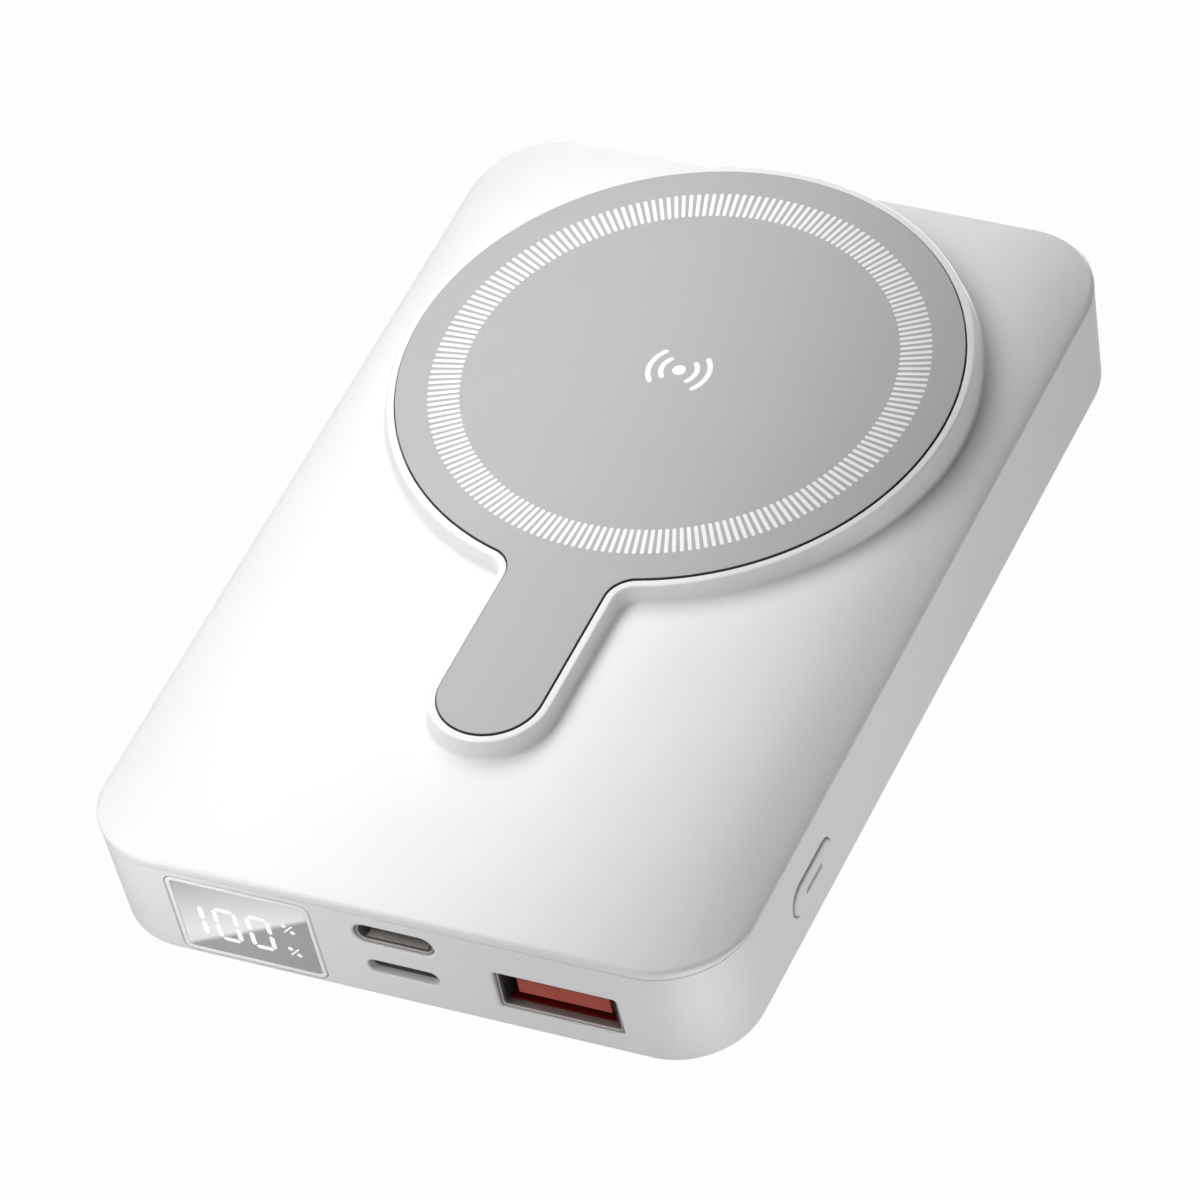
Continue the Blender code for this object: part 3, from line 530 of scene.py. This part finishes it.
def front_y(z):
    return -LENGTH / 2 + lean(z)


def right_x(z):
    return WIDTH / 2 - lean(z)


def crown_z(x, y):
    """Height of the cover's top surface."""
    across = 1.0 - (np.abs(x) / (WIDTH / 2)) ** SIDE_SHOULDER
    along = 1.0 - (np.abs(y) / (LENGTH / 2)) ** END_SHOULDER
    return RIM_Z - SIDE_DROP + (SIDE_DROP + CROWN * along) * across


def ring(reach, z):
    """A ring of points at a reach in each direction and a height, or a height each."""
    x = reach * np.cos(DIRECTIONS)
    y = reach * np.sin(DIRECTIONS)
    return np.column_stack((x, y, np.broadcast_to(z, x.shape)))


def crowned(reach, drop=0.0):
    """A ring on the cover's top surface, or a constant depth under it."""
    x = reach * np.cos(DIRECTIONS)
    y = reach * np.sin(DIRECTIONS)
    return np.column_stack((x, y, crown_z(x, y) - drop))


# ---------------------------------------------------------------- meshes


def loft_into(bm, rings, fans=False, around=False):
    """Adds a closed solid through rings of equally many points. Fans close its ends from a middle
    point. Around joins the last ring to the first, which makes a frame."""
    loops = [[bm.verts.new(tuple(point)) for point in points] for points in rings]
    count = len(loops[0])
    following = loops[1:] + loops[:1] if around else loops[1:]
    for lower, upper in zip(loops, following):
        for i in range(count):
            j = (i + 1) % count
            bm.faces.new((lower[i], lower[j], upper[j], upper[i]))
    if around:
        return
    for loop, points in ((loops[0], rings[0]), (loops[-1], rings[-1])):
        if not fans:
            bm.faces.new(loop)
            continue
        middle = bm.verts.new((0.0, 0.0, float(points[0][2])))
        for i in range(count):
            bm.faces.new((loop[i], loop[(i + 1) % count], middle))


def finish_mesh(name, bm, sharp=32):
    bmesh.ops.recalc_face_normals(bm, faces=bm.faces)
    mesh = bpy.data.meshes.new(name)
    bm.to_mesh(mesh)
    bm.free()
    mesh.shade_smooth()
    mesh.set_sharp_from_angle(angle=math.radians(sharp))
    return mesh


def loft(name, rings, fans=False, sharp=32, around=False):
    bm = bmesh.new()
    loft_into(bm, rings, fans, around)
    made = bpy.data.objects.new(name, finish_mesh(name, bm, sharp))
    bpy.context.scene.collection.objects.link(made)
    return made


def carve(target, cutters):
    """Cuts shapes out of a piece, then removes them."""
    for cutter in cutters:
        step = target.modifiers.new(cutter.name, "BOOLEAN")
        step.operation = "DIFFERENCE"
        step.solver = "EXACT"
        step.object = cutter
    graph = bpy.context.evaluated_depsgraph_get()
    carved = bpy.data.meshes.new_from_object(target.evaluated_get(graph))
    target.modifiers.clear()
    target.data = carved
    for cutter in cutters:
        bpy.data.objects.remove(cutter)
    carved.shade_smooth()
    carved.set_sharp_from_angle(angle=math.radians(32))


def settle(piece, look, slot, body="housing", replaces=()):
    """Gives a piece its look and its place in the frame."""
    piece.data.materials.clear()
    piece.data.materials.append(LOOKS[look])
    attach(piece, body)
    if replaces:
        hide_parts(*replaces)


def add_solid(name, bm, look, slot, **places):
    made = bpy.data.objects.new(name, finish_mesh(name, bm))
    bpy.context.scene.collection.objects.link(made)
    settle(made, look, slot, **places)


def on_front(outline, centre, depth):
    """An outline in X and Z, laid on the leaning front wall at a depth behind its face."""
    points = []
    for x, z in outline:
        height = centre[1] + z
        points.append((centre[0] + x, front_y(height) + depth, height))
    return points


def on_plane(outline, centre, y):
    return [(centre[0] + x, y, centre[1] + z) for x, z in outline]


def on_right(outline, proud):
    """An outline in Y and Z about the button's middle, laid on the leaning right wall."""
    points = []
    for y, z in outline:
        height = BUTTON_Z + z
        points.append((right_x(height) + proud, BUTTON_Y + y, height))
    return points


def quarter(radius, steps=5):
    """Pairs of how far a rounded edge has turned in and how far it still is from the face."""
    turns = [math.pi / 2 * i / steps for i in range(steps + 1)]
    return [(radius * (1 - math.cos(t)), radius * (1 - math.sin(t))) for t in turns]


# ---------------------------------------------------------------- housing


def morph(outer, inner, shares, drop=0.0):
    """Rings on the cover's top surface, at shares of the way between two reaches."""
    return [crowned(outer * (1 - share) + inner * share, drop) for share in shares]


def boss_offset(z):
    """The offset of the boss's leaning wall at a height."""
    return BOSS_WALL + BOSS_LEAN * (BOSS_WALL_Z - z)


def boss_rings():
    """The boss from its base fillet, up its wall, over its rim and down to the pocket floor."""
    fillet = 0.5 * MM
    tilt = math.atan(BOSS_LEAN)
    base_z = np.full(DIRECTIONS.shape, 16.0 * MM)
    for _ in range(4):
        start = boss_offset(base_z + fillet) + fillet / math.cos(tilt)
        base_z = crowned(keyhole_reach(start))[:, 2]
    rings = []
    for turn in np.linspace(0.0, math.pi / 2 - tilt, 8):
        offset = start - fillet * math.sin(turn)
        rings.append(ring(keyhole_reach(offset), base_z + fillet * (1 - math.cos(turn))))
    rim = 0.24 * MM
    for z in (BOSS_TOP_Z - rim - 0.12 * MM, BOSS_TOP_Z - rim):
        rings.append(ring(keyhole_reach(boss_offset(z)), z))
    edge = boss_offset(BOSS_TOP_Z - rim)
    for inward, below in quarter(rim)[1:]:
        rings.append(ring(keyhole_reach(edge - inward), BOSS_TOP_Z - below))
    inner_edge = 0.1 * MM
    rings.append(ring(keyhole_reach(PAD_GAP + inner_edge + 0.05 * MM), BOSS_TOP_Z))
    for inward, below in reversed(quarter(inner_edge, 3)):
        rings.append(ring(keyhole_reach(PAD_GAP + inward), BOSS_TOP_Z - below))
    rings.append(ring(keyhole_reach(PAD_GAP), POCKET_FLOOR_Z))
    return rings


def make_cover():
    lip = WALL + FIT
    inner_wall = lip + LIP_WALL
    lip_bottom = PARTING_Z - LIP_DEPTH
    hollow = keyhole_reach(-WALL)
    rings = [ring(hollow, POCKET_FLOOR_Z - POCKET_FLOOR)]
    rings += morph(hollow, body_reach(inner_wall + 1.0 * MM), np.linspace(0.0, 1.0, 6), CEILING)
    rings.append(crowned(body_reach(inner_wall), CEILING + 0.6 * MM))
    rings.append(ring(body_reach(inner_wall), lip_bottom))
    rings.append(ring(body_reach(lip), lip_bottom))
    rings.append(ring(body_reach(lip), PARTING_Z))
    for inward, above in reversed(quarter(SEAM_EDGE, 3)):
        rings.append(ring(body_reach(lean(PARTING_Z) + inward), PARTING_Z + above))
    rings.append(ring(body_reach(lean(PARTING_Z)), PARTING_Z + 2 * SEAM_EDGE))
    # The rim is low along the sides, so its rounding is shallower there and reaches further in
    side_height = crowned(RIM_REACH)[:, 2] - PARTING_Z
    drop = np.clip(side_height - 0.22 * MM, 0.2 * MM, EDGE_RADIUS)
    turn = EDGE_RADIUS + EDGE_STRETCH * (EDGE_RADIUS - drop)
    rings.append(crowned(RIM_REACH, drop + 0.05 * MM))
    for inward, below in quarter(1.0, 7):
        rings.append(crowned(rim_reach(turn * inward), drop * below))
    boss = boss_rings()
    rim = rim_reach(turn)
    base = np.hypot(boss[0][:, 0], boss[0][:, 1])
    near_rim = (0.004, 0.012, 0.025, 0.045, 0.07, 0.1, 0.14)
    shares = [*near_rim, *np.linspace(0.19, 0.94, 18), 0.97, 0.985]
    rings += morph(rim, base, shares)
    rings += boss
    cover = loft("housing_cover", rings, fans=True)
    settle(cover, "white_plastic", "white_plastic", replaces=("top_cover",))


def opening(name, outline_of, centre, edge):
    """A cutter for the front wall whose opening flares in a rounded edge."""
    rings = []
    for grow, depth in [(edge, -1.0 * MM), *rounded_entry(edge)]:
        rings.append(on_front(outline_of(grow), centre, depth))
    rings.append(on_front(outline_of(0.0), centre, WALL + 1.4 * MM))
    return loft(name, rings)


def rounded_entry(edge, steps=4):
    """Pairs of growth and depth that roll an opening's edge from the face inwards."""
    turns = [math.pi / 2 * i / steps for i in range(steps + 1)]
    return [(edge * (1 - math.sin(t)), edge * (1 - math.cos(t))) for t in turns]


def window_outline(grow):
    half_x = WINDOW_SIZE[0] / 2 + WINDOW_GAP + grow
    half_z = WINDOW_SIZE[1] / 2 + WINDOW_GAP + grow
    return rounded_rectangle(half_x, half_z, WINDOW_RADIUS + grow)


def usb_a_outline(grow):
    half_x = USB_A_OPENING[0] / 2 + grow
    half_z = USB_A_OPENING[1] / 2 + grow
    return rounded_rectangle(half_x, half_z, 0.45 * MM + max(grow, 0.0))


def usb_c_outline(grow):
    return stadium(USB_C_OPENING[0] + 2 * grow, USB_C_OPENING[1] + 2 * grow)


def input_outline(grow):
    return stadium(INPUT_OPENING[0] + 2 * grow, INPUT_OPENING[1] + 2 * grow)


def button_outline(grow):
    return stadium(BUTTON_SIZE[0] + 2 * grow, BUTTON_SIZE[1] + 2 * grow, 28)


def make_tub():
    rings = []
    for inward, above in reversed(quarter(FLOOR_RADIUS, 8)):
        rings.append(ring(body_reach(lean(above) + inward), above))
    seam_z = PARTING_Z - PARTING_GAP
    for z in (FLOOR_RADIUS + 0.15 * MM, seam_z - SEAM_EDGE - 0.1 * MM):
        rings.append(ring(body_reach(lean(z)), z))
    for inward, below in quarter(SEAM_EDGE, 3):
        rings.append(ring(body_reach(lean(seam_z) + inward), seam_z - below))
    rings.append(ring(body_reach(WALL), seam_z))
    rings.append(ring(body_reach(WALL), PARTING_Z - LIP_DEPTH - 0.4 * MM))
    wall_bottom = lean(FLOOR) + WALL - 0.05 * MM
    rings.append(ring(body_reach(wall_bottom), FLOOR + 0.8 * MM))
    rings.append(ring(body_reach(wall_bottom + 0.8 * MM), FLOOR))
    tub = loft("housing_tub", rings, fans=True)

    cutters = [
        opening("window_cut", window_outline, (WINDOW_X, WINDOW_Z), 0.12 * MM),
        opening("usb_a_cut", usb_a_outline, (USB_A_X, USB_A_Z), 0.28 * MM),
        opening("usb_c_cut", usb_c_outline, (USB_C_X, USB_C_Z), 0.25 * MM),
        opening("input_cut", input_outline, (INPUT_X, INPUT_Z), 0.22 * MM),
    ]
    edge = 0.12 * MM
    stages = [(edge, 1.0 * MM)]
    stages += [(grow, -depth) for grow, depth in rounded_entry(edge, 3)]
    stages.append((0.0, -WALL - 1.5 * MM))
    button_rings = [on_right(button_outline(BUTTON_GAP + grow), proud) for grow, proud in stages]
    cutters.append(loft("button_cut", button_rings))
    carve(tub, cutters)
    settle(tub, "white_plastic", "white_plastic", replaces=("bottom_shell",))


# ---------------------------------------------------------------- pad


def make_plate():
    """The pad's flat plate, and a near-black ring in the gap around it: painted shade that shows as a
    thin line.
    """
    top = PAD_TOP_Z - PRINT_HEIGHT
    gap_shade = 0.05 * MM
    below = 0.03 * MM
    rings = [ring(keyhole_reach(-gap_shade), z) for z in (PAD_BOTTOM_Z, top)]
    plate = loft("pad_plate", rings, fans=True)
    settle(plate, "silver_plate", "silver_plate", replaces=("charging_pad",))
    # A ring filling the gap around the plate, near-black as painted shade where the gap lies in shadow
    rings = [
        ring(keyhole_reach(-gap_shade), PAD_BOTTOM_Z),
        ring(keyhole_reach(0.0), PAD_BOTTOM_Z),
        ring(keyhole_reach(0.0), top - below),
        ring(keyhole_reach(-gap_shade), top - below),
    ]
    edge = loft("pad_gap_shade", rings, around=True)
    settle(edge, "gap_shade", "adhesive_film")


def bar_outline(inner, outer, angle, width):
    """A round-ended bar that points away from the pad's middle."""
    outline = stadium(outer - inner, width, 3)
    reach = (inner + outer) / 2
    points = []
    for along, across in outline:
        x = (reach + along) * math.cos(angle) - across * math.sin(angle)
        y = (reach + along) * math.sin(angle) + across * math.cos(angle)
        points.append((x, PAD_Y + y))
    return points


def arc_outline(radius, width, start, end):
    """A round-ended stroke along an arc about the pad's middle."""
    steps = 24
    half = width / 2
    centre = (0.0, PAD_Y)
    outer = arc(centre, radius + half, start, end, steps)
    inner = arc(centre, radius - half, end, start, steps)
    last = (radius * math.cos(end), PAD_Y + radius * math.sin(end))
    first = (radius * math.cos(start), PAD_Y + radius * math.sin(start))
    far_cap = arc(last, half, end, end + math.pi, 6)
    near_cap = arc(first, half, start + math.pi, start + math.tau, 6)
    return outer + far_cap[1:-1] + inner + near_cap[1:-1]


def make_prints():
    """The white ring of ticks and a wireless symbol, printed on the plate."""
    bottom = PAD_TOP_Z - 2 * PRINT_HEIGHT
    pitch = math.tau / TICK_COUNT
    width = 0.42 * MM
    bm = bmesh.new()
    for index in range(TICK_COUNT):
        outline = bar_outline(TICK_INNER, TICK_OUTER, pitch * (index + 0.5), width)
        loft_into(bm, [[(x, y, z) for x, y in outline] for z in (bottom, PAD_TOP_Z)])
    add_solid("pad_ticks", bm, "print", "white_plastic")

    bm = bmesh.new()
    outlines = [arc((0.0, PAD_Y), 0.75 * MM, 0.0, math.tau, 32)[:-1]]
    spread = math.radians(42)
    for radius in (2.0 * MM, 3.4 * MM):
        for facing in (0.0, math.pi):
            outlines.append(arc_outline(radius, 0.6 * MM, facing - spread, facing + spread))
    for outline in outlines:
        loft_into(bm, [[(x, y, z) for x, y in outline] for z in (bottom, PAD_TOP_Z)])
    add_solid("pad_symbol", bm, "print", "white_plastic")


# ---------------------------------------------------------------- sockets


def make_sleeve(name, outline_of, centre, front, back, node):
    """A socket's metal sleeve, closed at the back, with a rolled front lip."""
    wall = 0.3 * MM
    clearance = -0.12 * MM
    lip = wall / 2
    rings = [on_plane(outline_of(clearance), centre, back)]
    for inward, behind in quarter(lip, 4):
        rings.append(on_plane(outline_of(clearance - inward), centre, front + behind))
    for inward, behind in reversed(quarter(lip, 4)):
        rings.append(on_plane(outline_of(clearance - wall + inward), centre, front + behind))
    rings.append(on_plane(outline_of(clearance - wall), centre, back - wall))
    sleeve = loft(name, rings, sharp=40)
    settle(sleeve, "socket_metal", "socket_metal", replaces=(node,))


def block_into(bm, low, high, edge):
    """Adds a box with rounded edges along Y and a rounded front."""
    half_x = (high[0] - low[0]) / 2
    half_z = (high[2] - low[2]) / 2
    centre = ((low[0] + high[0]) / 2, (low[2] + high[2]) / 2)
    rings = []
    for inward, behind in reversed(quarter(edge, 3)):
        outline = rounded_rectangle(half_x - inward, half_z - inward, edge, 3)
        rings.append(on_plane(outline, centre, low[1] + behind))
    rings.append(on_plane(rounded_rectangle(half_x, half_z, edge, 3), centre, high[1]))
    loft_into(bm, rings)


def back_block_into(bm, centre, back, half_x, bottom, top):
    """Adds the solid part of a socket's insulator, at the back of its sleeve."""
    x, z = centre
    low = (x - half_x, back - BLOCK_DEPTH, z + bottom)
    high = (x + half_x, back - 0.01 * MM, z + top)
    block_into(bm, low, high, 0.1 * MM)


def make_contacts(name, middle, count, pitch, size, bottom, ends):
    """A row of contact strips along a socket's tongue."""
    bm = bmesh.new()
    for index in range(count):
        x = middle + (index - (count - 1) / 2) * pitch
        low = (x - size[0] / 2, ends[0], bottom)
        high = (x + size[0] / 2, ends[1], bottom + size[1])
        block_into(bm, low, high, 0.03 * MM)
    add_solid(name, bm, "contact", "socket_metal")


def make_usb_a():
    x, z = centre = (USB_A_X, USB_A_Z)
    front = front_y(z) + SOCKET_RECESS
    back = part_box("usb_a_shell")[1].y
    make_sleeve("usb_a_sleeve", usb_a_outline, centre, front, back, "usb_a_shell")
    inner_back = back - INSERT_BACK
    liner_back = inner_back - LINER_END
    tongue_front = front_y(z) + 1.05 * MM
    floor_front = front_y(z) + 1.25 * MM

    bm = bmesh.new()
    low = (x - 5.05 * MM, tongue_front, z - 0.85 * MM)
    high = (x + 5.6 * MM, inner_back, z + 1.3 * MM)
    block_into(bm, low, high, 0.15 * MM)
    back_block_into(bm, centre, inner_back, 6.4 * MM, -2.0 * MM, 2.1 * MM)
    add_solid("usb_a_insert", bm, "orange_insulator", "orange_insulator", replaces=("usb_a_tongue",))

    # Black sheets down the sleeve's inner sides: painted shade at the sides of the cavity
    bm = bmesh.new()
    for side in (-1, 1):
        near, far = sorted((x + side * 6.52 * MM, x + side * 6.35 * MM))
        low = (near, front + 0.1 * MM, z - 2.05 * MM)
        high = (far, liner_back, z + 2.2 * MM)
        block_into(bm, low, high, 0.05 * MM)
    add_solid("usb_a_side_shade", bm, "black_insulator", "black_insulator")

    # A red sheet on the USB-A sleeve's floor, far darker than the tongue: painted shade where the floor
    # lies in shadow
    bm = bmesh.new()
    low = (x - 6.34 * MM, floor_front, z - 2.3 * MM)
    high = (x + 6.34 * MM, liner_back, z - 2.1 * MM)
    block_into(bm, low, high, 0.05 * MM)
    add_solid("usb_a_floor", bm, "red_floor_painted_shade", "orange_insulator")

    strip = (1.0 * MM, 0.2 * MM)
    ends = (tongue_front + 1.2 * MM, inner_back - CONTACT_END)
    make_contacts("usb_a_contacts", x, 4, 2.4 * MM, strip, z - 0.95 * MM, ends)


def make_usb_c():
    x, z = centre = (USB_C_X, USB_C_Z)
    front = front_y(z) + SOCKET_RECESS
    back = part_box("usb_c_shell")[1].y
    make_sleeve("usb_c_sleeve", usb_c_outline, centre, front, back, "usb_c_shell")
    inner_back = back - INSERT_BACK
    tongue_front = front_y(z) + 1.35 * MM

    bm = bmesh.new()
    low = (x - 3.35 * MM, tongue_front, z - 0.35 * MM)
    high = (x + 3.35 * MM, inner_back, z + 0.35 * MM)
    block_into(bm, low, high, 0.12 * MM)
    back_block_into(bm, centre, inner_back, 3.45 * MM, -0.95 * MM, 0.95 * MM)
    add_solid("usb_c_insert", bm, "black_insulator", "black_insulator", replaces=("usb_c_tongue",))

    bm = bmesh.new()
    floor_z = z - USB_C_OPENING[1] / 2 + 0.43 * MM
    low = (x - 3.5 * MM, front + 0.35 * MM, floor_z)
    high = (x + 3.5 * MM, inner_back - LINER_END, floor_z + 0.1 * MM)
    block_into(bm, low, high, 0.04 * MM)
    add_solid("usb_c_liner", bm, "warm_liner", "grey_moulding")

    strip = (0.25 * MM, 0.08 * MM)
    ends = (tongue_front + 0.6 * MM, inner_back - CONTACT_END)
    make_contacts("usb_c_contacts", x, 12, 0.5 * MM, strip, z + 0.31 * MM, ends)


def make_input():
    x, z = centre = (INPUT_X, INPUT_Z)
    front = front_y(z) + WALL + FIT
    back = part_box("input_port_shell")[1].y
    length, height = INPUT_OPENING

    def sleeve_outline(grow):
        half_x = length / 2 + 0.42 * MM + grow
        half_z = height / 2 + 0.5 * MM + grow
        return rounded_rectangle(half_x, half_z, 0.5 * MM)

    make_sleeve("input_sleeve", sleeve_outline, centre, front, back, "input_port_shell")
    inner_back = back - INSERT_BACK
    bm = bmesh.new()
    low = (x - 3.0 * MM, front + 1.0 * MM, z - 0.62 * MM)
    high = (x + 3.0 * MM, inner_back, z - 0.32 * MM)
    block_into(bm, low, high, 0.08 * MM)
    back_block_into(bm, centre, inner_back, 3.2 * MM, -0.7 * MM, 0.7 * MM)
    # A black plug filling the slot from 1.05 mm behind the face: painted shade deep in the slot; the
    # tongue and back block are the real insulator
    plug_ends = (front_y(z) + 1.05 * MM, front - 0.05 * MM)
    loft_into(bm, [on_plane(input_outline(-0.04 * MM), centre, y) for y in plug_ends])
    add_solid("input_insert_and_shade_plug", bm, "black_insulator", "black_insulator", replaces=("input_port_tongue",))


# ---------------------------------------------------------------- display


def make_window():
    """A glossy pane in a thin bezel, whiter than the housing partly as a painted highlight along its
    edge, flush with the wall.
    """
    centre = (WINDOW_X, WINDOW_Z)
    bezel = 0.55 * MM
    round_off = 0.14 * MM

    def outline(inset):
        half_x = WINDOW_SIZE[0] / 2 - inset
        half_z = WINDOW_SIZE[1] / 2 - inset
        radius = WINDOW_RADIUS - WINDOW_GAP - min(inset, 0.5 * MM)
        return rounded_rectangle(half_x, half_z, radius)

    back = WINDOW_THICKNESS - 0.03 * MM
    rings = [on_front(outline(0.0), centre, back)]
    for inward, behind in quarter(round_off, 4):
        rings.append(on_front(outline(inward), centre, behind))
    for inward, behind in reversed(quarter(round_off, 4)):
        rings.append(on_front(outline(bezel - inward), centre, behind))
    rings.append(on_front(outline(bezel), centre, 0.6 * MM))
    settle(loft("display_bezel", rings), "bezel", "white_plastic")

    gap = bezel + 0.02 * MM
    face = 0.06 * MM
    rings = [on_front(outline(gap), centre, 0.55 * MM)]
    for inward, behind in quarter(0.08 * MM, 3):
        rings.append(on_front(outline(gap + inward), centre, face + behind))
    pane = loft("display_pane", rings)
    settle(pane, "display_window", "display_window", replaces=("display_window",))
    make_segments(face)


def stroke(start, end, width):
    """A bar with pointed ends between two points."""
    start, end = Vector(start), Vector(end)
    along = (end - start).normalized()
    side = Vector((-along.y, along.x)) * width / 2
    tip = along * width / 2
    corners = (start, start + tip + side, end - tip + side, end, end - tip - side, start + tip - side)
    return [tuple(corner) for corner in corners]


def make_segments(face):
    """The digits 100 and two percent signs, lit behind the pane's face."""
    height = 4.8 * MM
    width = 2.35 * MM
    thick = 0.6 * MM
    gap = 0.1 * MM
    base = -2.85 * MM
    middle = base + height / 2
    top = base + height
    outlines = []

    def upright(x, low, high):
        outlines.append(stroke((x, low + gap), (x, high - gap), thick))

    def level(left, right, z):
        outlines.append(stroke((left + gap, z), (right - gap, z), thick))

    one_x = -5.1 * MM
    upright(one_x, base, middle)
    upright(one_x, middle, top)
    for left in (-3.45 * MM, 0.45 * MM):
        right = left + width
        for x in (left, right):
            upright(x, base, middle)
            upright(x, middle, top)
        level(left, right, base)
        level(left, right, top)
    sign_x = 5.2 * MM
    for z in (1.35 * MM, -2.4 * MM):
        low = (sign_x - 0.6 * MM, z - 0.65 * MM)
        high = (sign_x + 0.6 * MM, z + 0.65 * MM)
        outlines.append(stroke(low, high, 0.2 * MM))
        for side in (-1, 1):
            spot = (sign_x + side * 0.45 * MM, z - side * 0.42 * MM)
            outlines.append(arc(spot, 0.3 * MM, 0.0, math.tau, 14)[:-1])
    bm = bmesh.new()
    centre = (WINDOW_X, WINDOW_Z)
    depths = (face + 0.02 * MM, face - 0.012 * MM)
    for outline in outlines:
        loft_into(bm, [on_front(outline, centre, depth) for depth in depths])
    add_solid("display_segments", bm, "segments", "display_window")


# ---------------------------------------------------------------- push button


def make_button():
    """The cap, held behind the wall by its flange, with a short groove across its middle."""
    flange_outer = -WALL - 0.3 * MM
    flange_inner = flange_outer - 0.7 * MM
    flange = 0.7 * MM
    edge = 0.24 * MM
    rings = [on_right(button_outline(flange), flange_inner)]
    rings.append(on_right(button_outline(flange), flange_outer))
    rings.append(on_right(button_outline(0.0), flange_outer))
    for inward, below in quarter(edge, 5):
        rings.append(on_right(button_outline(-inward), BUTTON_PROUD - below))
    button = loft("button_cap", rings)
    groove_bottom = on_right(stadium(4.0 * MM, 0.6 * MM, 8), BUTTON_PROUD - 0.35 * MM)
    groove_mouth = on_right(stadium(4.2 * MM, 0.8 * MM, 8), BUTTON_PROUD + 0.05 * MM)
    carve(button, [loft("groove_cut", [groove_bottom, groove_mouth])])
    settle(button, "button", "white_plastic", body="button", replaces=("power_button",))


# ---------------------------------------------------------------- studio


def make_camera():
    elevation = math.radians(44.889)
    azimuth = math.radians(33.100)
    roll = math.radians(-12.751)
    distance = 875.89 * MM
    target = Vector((0.494, -4.153, 9.5)) * MM
    camera = bpy.data.objects.new("camera", bpy.data.cameras.new("camera"))
    camera.data.lens = 247.01
    camera.data.sensor_width = 36.0
    camera.data.clip_start = 0.01
    away = Vector(
        (
            math.sin(azimuth) * math.cos(elevation),
            -math.cos(azimuth) * math.cos(elevation),
            math.sin(elevation),
        )
    )
    turned = Euler((math.pi / 2 - elevation, 0.0, azimuth)).to_matrix()
    rolled = turned @ Matrix.Rotation(roll, 3, "Z")
    camera.matrix_world = Matrix.Translation(target + away * distance) @ rolled.to_4x4()
    bpy.context.scene.collection.objects.link(camera)
    bpy.context.scene.camera = camera


def area_light(name, place, aim, size, power):
    data = bpy.data.lights.new(name, "AREA")
    data.shape = "RECTANGLE"
    data.size = size[0]
    data.size_y = size[1]
    data.energy = power
    light = bpy.data.objects.new(name, data)
    light.location = place
    facing = Vector(aim) - Vector(place)
    light.rotation_euler = facing.to_track_quat("-Z", "Y").to_euler()
    light.visible_camera = False
    bpy.context.scene.collection.objects.link(light)


def two_strengths(tree, shader, seen, cast):
    """Gives a stage shader one strength for the camera and another for the light it casts."""
    path = tree.nodes.new("ShaderNodeLightPath")
    remap = tree.nodes.new("ShaderNodeMapRange")
    tree.links.new(path.outputs["Is Camera Ray"], remap.inputs["Value"])
    remap.inputs["To Min"].default_value = cast
    remap.inputs["To Max"].default_value = seen
    tree.links.new(remap.outputs["Result"], shader.inputs["Strength"])


def make_floor():
    bm = bmesh.new()
    bmesh.ops.create_grid(bm, x_segments=8, y_segments=8, size=4.0)
    floor = bpy.data.objects.new("floor", finish_mesh("floor", bm))
    bpy.context.scene.collection.objects.link(floor)
    floor.location.z = -0.05 * MM
    material = bpy.data.materials.new("pale floor")
    material.use_nodes = True
    tree = material.node_tree
    tree.nodes.clear()
    glow = tree.nodes.new("ShaderNodeEmission")
    output = tree.nodes.new("ShaderNodeOutputMaterial")
    tree.links.new(glow.outputs[0], output.inputs["Surface"])
    two_strengths(tree, glow, seen=0.985, cast=0.52)
    floor.data.materials.append(material)


def make_lights():
    world = bpy.data.worlds.new("studio")
    world.use_nodes = True
    backdrop = world.node_tree.nodes["Background"]
    backdrop.inputs["Color"].default_value = (1.0, 1.0, 1.0, 1.0)
    two_strengths(world.node_tree, backdrop, seen=0.985, cast=0.01)
    bpy.context.scene.world = world
    area_light("key_left", (-0.050, 0.0, 0.09), (-0.025, 0.0, 0.01), (0.22, 0.06), 0.068)
    area_light("key_middle", (-0.020, 0.0, 0.09), (-0.010, 0.0, 0.01), (0.22, 0.06), 0.088)
    area_light("fill_front", (0.0, -0.212, 0.057), (0.0, 0.0, 0.01), (0.1, 0.1), 0.035)
    area_light("low_front", (0.0, -0.212, 0.012), (0.0, 0.0, 0.01), (0.05, 0.05), 0.018)
    area_light("low_right", (0.2115, -0.015, 0.012), (0.0, 0.0, 0.01), (0.05, 0.05), 0.122)
    area_light("low_left", (-0.212, 0.0, 0.008), (0.0, 0.0, 0.004), (0.05, 0.01), 0.050)
    area_light("low_back", (0.0, 0.212, 0.025), (0.0, 0.0, 0.01), (0.1, 0.05), 0.200)
    area_light("bar_front", (0.0, -0.100, 0.003), (0.0, -0.056, 0.008), (0.1, 0.01), 0.0045)
    area_light("bar_right", (0.082, -0.030, 0.003), (0.037, -0.030, 0.008), (0.05, 0.01), 0.0033)
    area_light("near_left", (-0.038, -0.085, 0.014), (-0.02, -0.05, 0.008), (0.02, 0.04), 0.0051)
    area_light("near_corner", (0.0415, -0.0628, 0.009), (0.0345, -0.054, 0.008), (0.004, 0.016), 0.0005)


def main():
    bpy.context.scene.view_settings.view_transform = "Standard"
    dress_nodes()
    make_cover()
    make_tub()
    make_plate()
    make_prints()
    make_usb_a()
    make_usb_c()
    make_input()
    make_window()
    make_button()
    make_camera()
    make_floor()
    make_lights()


main()
